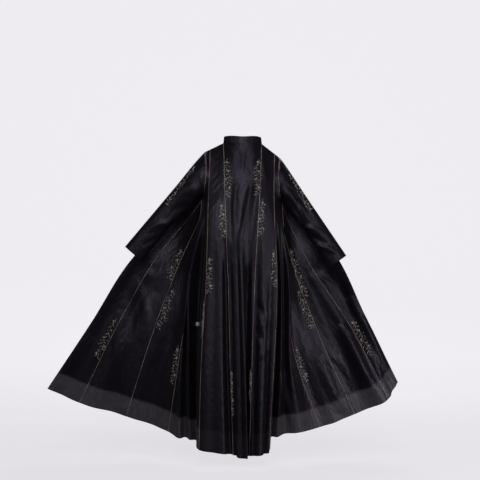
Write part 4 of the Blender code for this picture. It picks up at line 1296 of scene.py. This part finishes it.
# Studio
# A plain white sweep under the hem, a low camera, and soft lights above, behind, in front and on both sides.
# The sweep glows a little more towards its back, and neither lights the cloth nor mirrors in it.
FLOOR = -1.523
SWEEP_FRONT = -9.0
SWEEP_DEPTH = 6.0
SWEEP_HEIGHT = 6.0
SWEEP_RADIUS = 2.0
SWEEP_WIDTH = 24.0
SWEEP_STEPS = 12
GLOW_RUN = (0.3, 4.5)
FLOOR_GLOW = 0.68
WALL_GLOW = 0.83
ROOM_LIGHT = 0.06
CAMERA_PLACE = (-0.012, -5.25, -0.530)
CAMERA_TILT = 0.73
CAMERA_LENS = 82.5
# Columns: name, place, point it is aimed at, width and height, power in watts.
LIGHTS = (
    ("key", (-0.35, -5.2, 1.5), (0.0, 0.0, -0.6), (2.0, 1.8), 48.0),
    ("left_strip", (-2.9, -2.6, 0.5), (0.0, 0.0, -0.7), (0.8, 2.6), 7.0),
    ("right_strip", (2.3, -3.3, 0.0), (0.3, 0.1, -1.0), (0.8, 2.2), 12.0),
    ("right_edge", (3.1, -1.3, -0.9), (0.62, 0.15, -1.0), (0.7, 1.1), 11.0),
    ("top", (0.2, -2.0, 2.8), (0.0, 0.0, -0.5), (1.8, 1.2), 14.0),
    ("front_fill", (0.6, 3.4, 1.8), (0.0, 0.0, -0.7), (2.0, 1.4), 30.0),
)


def paper_material():
    """White paper that glows, a little more towards the back."""
    finish, tree, shader = new_finish("white_paper", {
        "Base Color": (0.36, 0.36, 0.37, 1.0), "Roughness": 0.9, "Specular IOR Level": 0.1,
        "Emission Color": (0.98, 0.96, 1.0, 1.0)})
    place = wired(tree, "ShaderNodeTexCoord", output="Object")
    back = wired(tree, "ShaderNodeSeparateXYZ", {0: place}, "Y")
    glow = wired(tree, "ShaderNodeMapRange", {
        "Value": back, "From Min": GLOW_RUN[0], "From Max": GLOW_RUN[1],
        "To Min": FLOOR_GLOW, "To Max": WALL_GLOW})
    tree.links.new(glow, shader.inputs["Emission Strength"])
    return finish


def add_sweep():
    """The floor and backdrop as one curved sheet."""
    profile = [(SWEEP_FRONT, FLOOR), (SWEEP_DEPTH - SWEEP_RADIUS, FLOOR)]
    for k in range(1, SWEEP_STEPS + 1):
        turn = math.pi / 2 * k / SWEEP_STEPS
        back = SWEEP_DEPTH - SWEEP_RADIUS * (1 - math.sin(turn))
        profile.append((back, FLOOR + SWEEP_RADIUS * (1 - math.cos(turn))))
    profile.append((SWEEP_DEPTH, SWEEP_HEIGHT))
    vertices = [(x, y, z) for y, z in profile for x in (-SWEEP_WIDTH / 2, SWEEP_WIDTH / 2)]
    faces = [(2 * k, 2 * k + 1, 2 * k + 3, 2 * k + 2) for k in range(len(profile) - 1)]
    mesh = bpy.data.meshes.new("sweep")
    mesh.from_pydata(vertices, [], faces)
    mesh.shade_smooth()
    mesh.materials.append(paper_material())
    sweep = bpy.data.objects.new("sweep", mesh)
    bpy.context.scene.collection.objects.link(sweep)
    sweep.visible_glossy = False
    sweep.visible_diffuse = False


def add_light(name, place, target, size, power):
    """A large soft light aimed at a point."""
    light = bpy.data.lights.new(name, "AREA")
    light.shape = "RECTANGLE"
    light.size, light.size_y = size
    light.energy = power
    lamp = bpy.data.objects.new(name, light)
    bpy.context.scene.collection.objects.link(lamp)
    lamp.location = place
    toward = np.array(target) - np.array(place)
    tilt = math.acos(-toward[2] / np.linalg.norm(toward))
    lamp.rotation_euler = (tilt, 0.0, math.atan2(toward[1], toward[0]) - math.pi / 2)


def add_world():
    """A dim room that still looks as pale as the sweep where it shows past its edges."""
    world = bpy.data.worlds.new("studio")
    world.use_nodes = True
    tree = world.node_tree
    room = tree.nodes["Background"]
    room.inputs["Color"].default_value = (0.95, 0.95, 1.0, 1.0)
    room.inputs["Strength"].default_value = ROOM_LIGHT
    seen = wired(tree, "ShaderNodeBackground", {"Color": (0.88, 0.86, 0.90, 1.0)})
    to_camera = wired(tree, "ShaderNodeLightPath", output="Is Camera Ray")
    choice = wired(tree, "ShaderNodeMixShader", {0: to_camera, 1: room.outputs[0], 2: seen})
    tree.links.new(choice, tree.nodes["World Output"].inputs["Surface"])
    bpy.context.scene.world = world


add_sweep()
add_world()
for light in LIGHTS:
    add_light(*light)
lens = bpy.data.cameras.new("camera")
lens.lens, lens.sensor_width = CAMERA_LENS, 36.0
camera = bpy.data.objects.new("camera", lens)
bpy.context.scene.collection.objects.link(camera)
camera.location = CAMERA_PLACE
camera.rotation_euler = (math.radians(90.0 + CAMERA_TILT), 0.0, 0.0)
bpy.context.scene.camera = camera
bpy.context.scene.view_settings.view_transform = "Standard"
